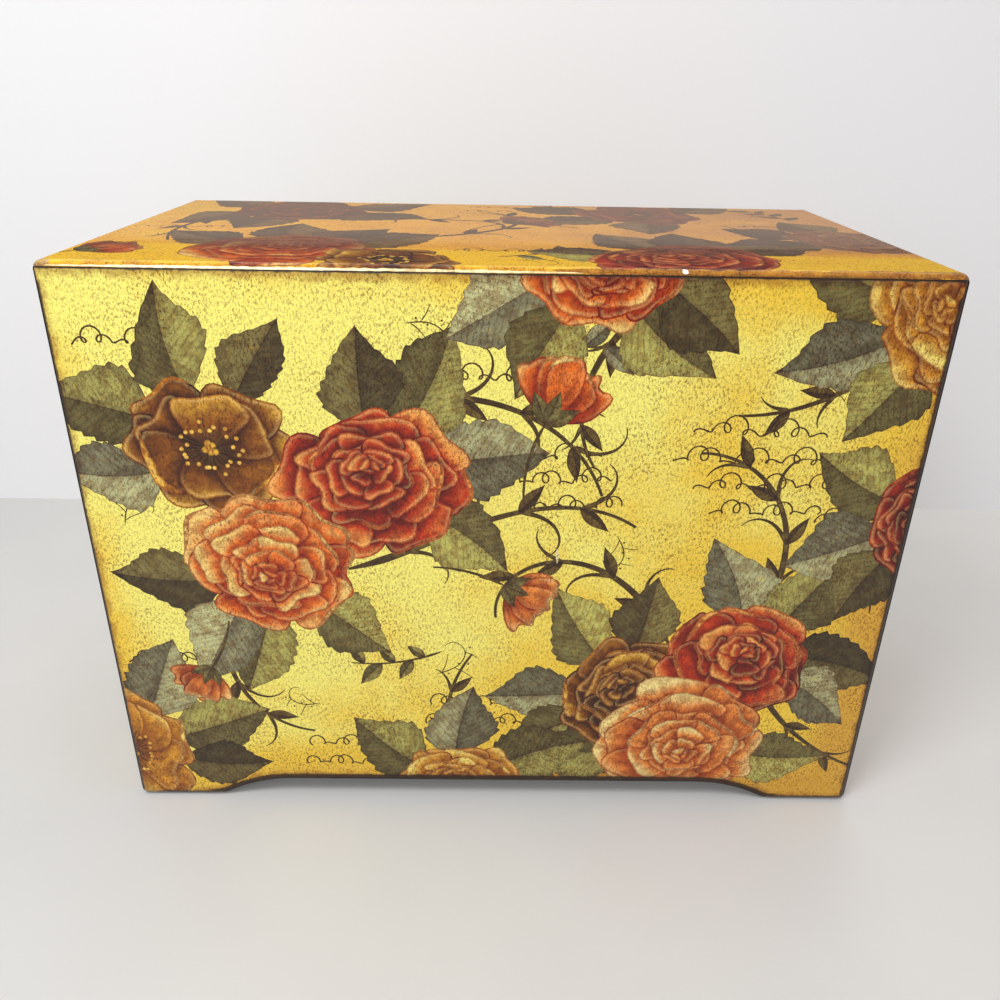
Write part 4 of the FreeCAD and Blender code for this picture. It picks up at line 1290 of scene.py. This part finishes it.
def light_room():
    world = bpy.data.worlds.new("room")
    bpy.context.scene.world = world
    world.use_nodes = True
    tree = world.node_tree
    tree.nodes.clear()
    plain = add(tree, "ShaderNodeBackground", {"Color": rgba("#f4f6f8"), "Strength": 0.48})
    shown = add(tree, "ShaderNodeBackground", {"Color": rgba("#eeeeee"), "Strength": 0.9})
    both = add(tree, "ShaderNodeMixShader", {0: seen(tree), 1: plain.outputs[0], 2: shown.outputs[0]})
    add(tree, "ShaderNodeOutputWorld", {"Surface": both.outputs[0]})
    lamp("window_over_left", (-0.22, -0.36, 0.62), (-0.02, -0.05, 0.15), (0.24, 0.2), 2.3)
    lamp("front_fill", (-0.5, -1.0, 0.62), (0, 0, 0.1), (0.8, 0.7), 3.2).visible_glossy = False
    lamp("rear_fill", (0.35, 1.0, 0.6), (0, 0, 0.1), (0.8, 0.7), 4.4, "#fff5ea").visible_glossy = False
    lamp("over_fill", (0.05, 0.1, 1.2), (0, 0, 0.1), (0.8, 0.7), 1.6).visible_glossy = False
    lamp("side_fill", (1.1, -0.1, 0.55), (0, 0, 0.1), (0.8, 0.7), 1.6, "#fff5ea").visible_glossy = False
    bpy.context.scene.view_settings.view_transform = "Standard"


# The dressed pieces

def dress_case(material, lid):
    left, right, front, rear, high = case_left, case_right, case_front, case_rear, case_high
    inset = EDGE_ROUND
    foot = EDGE_ROUND - PAPER
    walls = {
        "back_sheet": Wall((0, front, 0), (1, 0, 0), (0, 0, 1), (left + inset, right - inset, foot, high - inset)),
        "top_sheet": Wall((0, 0, high), (1, 0, 0), (0, 1, 0), (left + inset, right - inset, front + inset, rear - inset)),
        "left_sheet": Wall((left, 0, 0), (0, -1, 0), (0, 0, 1), (inset - rear, -front - inset, foot, high - inset)),
        "right_sheet": Wall((right, 0, 0), (0, 1, 0), (0, 0, 1), (front + inset, rear - inset, foot, high - inset)),
    }
    drawn = {"back_sheet": draw_back, "top_sheet": draw_top, "left_sheet": draw_side, "right_sheet": draw_side}
    for seed, (node, wall) in enumerate(walls.items(), start=11):
        page = Page(seed)
        drawn[node](page)
        low, tall = box_mm(node)
        if node == "top_sheet":
            outline = wrapped_outline(wall, top_wrap)
        else:
            ends = sorted((low.dot(wall.across), tall.dot(wall.across)))
            corners = (wall.flat[0] - inset, wall.flat[1] + inset)
            outline = footed_outline(wall, *ends, low.z, tall.z, *corners)
        finish = lid if node == "top_sheet" else material
        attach(print_sheet(node, wall, outline, page, finish), "case")
    low, tall = box_mm("apron_sheet")
    wall = Wall((0, tall.y, 0), (-1, 0, 0), (0, 0, 1), (-FAR_FLAT, FAR_FLAT, -FAR_FLAT, FAR_FLAT))
    page = Page(31)
    draw_apron(page)
    outline = footed_outline_flat(low, tall, left, right)
    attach(print_sheet("apron_sheet", wall, outline, page, material), "case")


def footed_outline_flat(low, tall, left, right):
    """The apron's sheet: flat, with the arch cut in its foot."""
    steps = 14
    run = math.sqrt((ARCH_ROUND + TOE_ROUND) ** 2 - (ARCH_ROUND + TOE_ROUND - ARCH_HIGH) ** 2)
    foot = [FOOT + run * i / steps for i in range(steps + 1)]
    points = [(low.x, low.z)]
    points += [(left + u, low.z + arch_height(u)) for u in foot]
    points += [(right - u, low.z + arch_height(u)) for u in reversed(foot)]
    points += [(tall.x, low.z), (tall.x, tall.z), (low.x, tall.z)]
    return [Vector(p) for p in points]


def dress_drawers(material):
    for kind, body in enumerate(DRAWERS):
        node = body + "_front_sheet"
        low, tall = box_mm(node)
        wall = Wall((0, tall.y, 0), (-1, 0, 0), (0, 0, 1), (-FAR_FLAT, FAR_FLAT, -FAR_FLAT, FAR_FLAT))
        page = Page(41 + kind)
        draw_front(page, low.z, tall.z, kind)
        outline = [Vector(p) for p in ((-tall.x, low.z), (-low.x, low.z), (-low.x, tall.z), (-tall.x, tall.z))]
        hole = (-(low.x + tall.x) / 2, (low.z + tall.z) / 2)
        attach(print_sheet(node, wall, outline, page, material, hole), body)


# Knobs, screws, felt, rolls and board edges, modelled as by hand

def deselect():
    bpy.ops.object.select_all(action="DESELECT")


def finish_piece(name, material, body, node):
    """Gives the active object its name, finish and place in the frame."""
    piece = bpy.context.active_object
    piece.name = name
    piece.data.materials.clear()
    piece.data.materials.append(material)
    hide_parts(node)
    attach(piece, body)
    return piece


def turn_on_lathe(place, rings, sides=56):
    """A turned piece along +Y. Each ring is its distance from the start and its radius."""
    deselect()
    x, y, z = [v * MM for v in place]
    reached, radius = rings[0]
    bpy.ops.mesh.primitive_circle_add(
        vertices=sides, radius=radius * MM, fill_type="NGON",
        location=(x, y + reached * MM, z), rotation=(-math.pi / 2, 0, 0),
    )
    bpy.ops.object.transform_apply(location=True, rotation=True, scale=True)
    bpy.ops.object.mode_set(mode="EDIT")
    for reach, wide in rings[1:]:
        bpy.ops.mesh.extrude_region_move(TRANSFORM_OT_translate={"value": (0, (reach - reached) * MM, 0)})
        share = wide / radius
        bpy.ops.transform.resize(value=(share, 1, share), center_override=(x, y + reach * MM, z))
        reached, radius = reach, wide
    bpy.ops.mesh.select_all(action="SELECT")
    bpy.ops.mesh.normals_make_consistent(inside=False)
    bpy.ops.object.mode_set(mode="OBJECT")


def turned_knob(body, material):
    """A mushroom knob: a beaded rose, a waisted neck and a domed head with a turned line."""
    node = body + "_knob"
    low, high = box_mm(node)
    turn_on_lathe(((low.x + high.x) / 2, low.y, (low.z + high.z) / 2), [
        (0, 7.3), (0.25, 7.5), (0.75, 7.5), (1.05, 7.2), (1.15, 6.75), (1.0, 6.5), (1.2, 6.1),
        (1.6, 5.3), (1.75, 4.6), (2.3, 4.1), (3.4, 3.6), (5.2, 3.45), (6.8, 3.6), (7.8, 4.2),
        (8.6, 5.3), (9.2, 6.8), (9.6, 7.9), (10.1, 8.35), (10.8, 8.5), (11.5, 8.35), (12.0, 8.0),
        (12.35, 7.55), (12.3, 7.25), (12.45, 7.05), (12.9, 6.7), (13.6, 5.8), (14.2, 4.6),
        (14.65, 3.2), (14.92, 1.6), (15, 0.3),
    ])
    bpy.ops.object.shade_smooth_by_angle(angle=math.radians(50))
    finish_piece(node + "_turned", material, body, node)


def slotted_screw(body, material):
    """The knob's screw, its domed head with a sawn slot inside the drawer."""
    node = body + "_knob_screw"
    low, high = box_mm(node)
    place = ((low.x + high.x) / 2, low.y, (low.z + high.z) / 2)
    turn_on_lathe(place, [
        (0, 0.9), (0.06, 1.7), (0.3, 2.6), (0.7, 3.2), (1.15, 3.45), (1.5, 3.5), (1.95, 3.5),
        (2.0, 1.6), (15.3, 1.6), (15.8, 1.1),
    ], 40)
    screw = bpy.context.active_object
    deselect()
    bpy.ops.mesh.primitive_cube_add(size=MM, location=Vector(place) * MM, scale=(9, 1.9, 0.9))
    saw = bpy.context.active_object
    slot = screw.modifiers.new("slot", "BOOLEAN")
    slot.object = saw
    slot.operation = "DIFFERENCE"
    deselect()
    screw.select_set(True)
    bpy.context.view_layer.objects.active = screw
    bpy.ops.object.modifier_apply(modifier="slot")
    bpy.data.objects.remove(saw)
    bpy.ops.object.shade_smooth_by_angle(angle=math.radians(35))
    finish_piece(node + "_slotted", material, body, node)


def felt_lining(body, material):
    """Pressed felt laid loose on the drawer's bottom: faintly wavy, its cut edge soft and uneven."""
    node = body + "_lining"
    low, high = box_mm(node)
    size = high - low
    middle = (low + high) / 2
    thick = size.z - 0.25
    deselect()
    bpy.ops.mesh.primitive_grid_add(
        x_subdivisions=84, y_subdivisions=44, size=MM, location=(middle.x * MM, middle.y * MM, low.z * MM),
    )
    bpy.ops.transform.resize(value=(size.x, size.y, 1))
    bpy.ops.object.transform_apply(location=True, scale=True)
    felt = bpy.context.active_object
    for point in felt.data.vertices:
        spot = Vector(point.co) / MM
        for axis in (0, 1):
            ahead = spot[axis] - middle[axis]
            margin = size[axis] / 2 - abs(ahead)
            if margin < 0.5:
                shrink = 0.16 * (1 + sea.noise(Vector((spot.x, spot.y, low.z)) * 0.16))
                spot[axis] -= math.copysign(shrink, ahead)
        spot.z = low.z + 0.12 + 0.1 * sea.noise(Vector((spot.x, spot.y, low.z)) * 0.045)
        point.co = spot * MM
    shell = felt.modifiers.new("thickness", "SOLIDIFY")
    shell.thickness = thick * MM
    shell.offset = 1
    soft = felt.modifiers.new("cut_edge", "BEVEL")
    soft.width = 0.4 * MM
    soft.segments = 2
    soft.angle_limit = math.radians(50)
    for name in ("thickness", "cut_edge"):
        bpy.ops.object.modifier_apply(modifier=name)
    bpy.ops.object.shade_smooth_by_angle(angle=math.radians(50))
    piece = finish_piece(node + "_felt", material, body, node)


def velvet_rolls(material):
    """Velvet over foam: each roll crowned, drawn in and gathered at its ends, with a deep slot to the next."""
    node = "ring_rolls"
    low, high = box_mm(node)
    size = high - low
    pitch = size.y / ROLLS
    steps = 56
    around = 28
    mesh = bmesh.new()
    pad = bmesh.ops.create_cube(mesh, size=1.0)["verts"]
    for point in pad:
        point.co = Vector((
            (low.x + high.x) / 2 + point.co.x * (size.x - 3), (low.y + high.y) / 2 + point.co.y * (size.y - 3),
            low.z + (point.co.z + 0.5) * 3.4,
        ))
    for k in range(ROLLS):
        middle = low.y + pitch * (k + 0.5)
        loops = []
        for i in range(steps + 1):
            x = low.x + size.x * (0.5 - 0.5 * math.cos(math.pi * i / steps))
            inward = min(min(x - low.x, high.x - x) / 5.5, 1.0)
            full = math.sqrt(1 - (1 - inward) ** 2)
            loop = []
            for j in range(around):
                turn = TAU * j / around
                c, s = math.cos(turn), math.sin(turn)
                swell = 0.28 + 0.72 * full
                swell += 0.035 * (1 - full) * math.sin(7 * turn + k)
                swell *= 0.985 + 0.02 * sea.noise(Vector((x * 0.09, k * 3.1 + c, s)))
                wide = (pitch / 2 - 0.15) * math.copysign(abs(c) ** 0.72, c) * swell
                tall = size.z / 2 * math.copysign(abs(s) ** 0.86, s) * swell
                loop.append(mesh.verts.new((x, middle + wide, low.z + size.z / 2 + tall)))
            loops.append(loop)
        for one, two in zip(loops, loops[1:]):
            for j in range(around):
                mesh.faces.new((one[j], one[j - 1], two[j - 1], two[j]))
        mesh.faces.new(loops[0])
        mesh.faces.new(loops[-1][::-1])
    bmesh.ops.recalc_face_normals(mesh, faces=mesh.faces)
    for face in mesh.faces:
        face.smooth = len(face.verts) == 4
    bmesh.ops.scale(mesh, vec=(MM, MM, MM), verts=mesh.verts)
    made = bpy.data.meshes.new("velvet_ring_rolls")
    mesh.to_mesh(made)
    mesh.free()
    piece = bpy.data.objects.new("velvet_ring_rolls", made)
    bpy.context.scene.collection.objects.link(piece)
    deselect()
    bpy.context.view_layer.objects.active = piece
    finish_piece("velvet_ring_rolls", material, "top_drawer", node)


def ease_edges(names, width):
    """Takes the sharpness off the edges of boards, as sandpaper does."""
    for name in names:
        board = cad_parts[name]
        board.modifiers.new("weld", "WELD").merge_threshold = 0.001 * MM
        ease = board.modifiers.new("ease", "BEVEL")
        ease.width = width * MM
        ease.segments = 2
        ease.limit_method = "ANGLE"
        ease.angle_limit = math.radians(50)
        ease.use_clamp_overlap = True


def assign(nodes, material):
    for name in nodes:
        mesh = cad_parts[name].data
        mesh.materials.clear()
        mesh.materials.append(material)


place_camera()
lay_stage()
light_room()

paper_finish = printed_paper("lacquered_printed_paper", "#fbf07a", "#f5ce42", "#dda838", 0.05, 0.55, 0.0, 0.0, 0.92)
# the lid's paper: tan ground, darkened and greyed motifs behind a bright front strip, all painted shade and painted
# reflection haze
lid_finish = printed_paper("lid_paper_painted_shade", "#ffca2c", "#f4b038", "#cc8a44", 0.9, 0.0, 1.1, 0.85, 0.35)
board_finish = stained_board()
side_wood = limewood("stained_limewood_sides", 1)
cross_wood = limewood("stained_limewood_across", 0)
felt_finish = felt("wine_wool_felt", "#5e1420", "#7c2230", 0.5)
velvet_finish = felt("wine_velvet", "#4c0e1a", "#701c2a", 1.0)
brass_finish = antique_brass()
steel_finish = screw_steel()

names = list(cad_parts)
assign([n for n in names if n.endswith("_board") or n.endswith("_shelf")], board_finish)
assign([n for n in names if n.endswith("_front")], board_finish)
assign([n for n in names if n.endswith("_side")], side_wood)
assign([n for n in names if n.endswith(("_drawer_back", "_bottom"))], cross_wood)
assign(["ring_partition", "left_partition", "right_partition"], side_wood)
assign(["tray_partition", "long_partition"], cross_wood)
ease_edges([n for n in names if n.endswith(("_side", "_drawer_back"))], 0.6)
ease_edges([n for n in names if n.endswith("_partition")], 0.7)
for drawer in DRAWERS:
    turned_knob(drawer, brass_finish)
    slotted_screw(drawer, steel_finish)
    felt_lining(drawer, felt_finish)
velvet_rolls(velvet_finish)
dress_case(paper_finish, lid_finish)
dress_drawers(paper_finish)
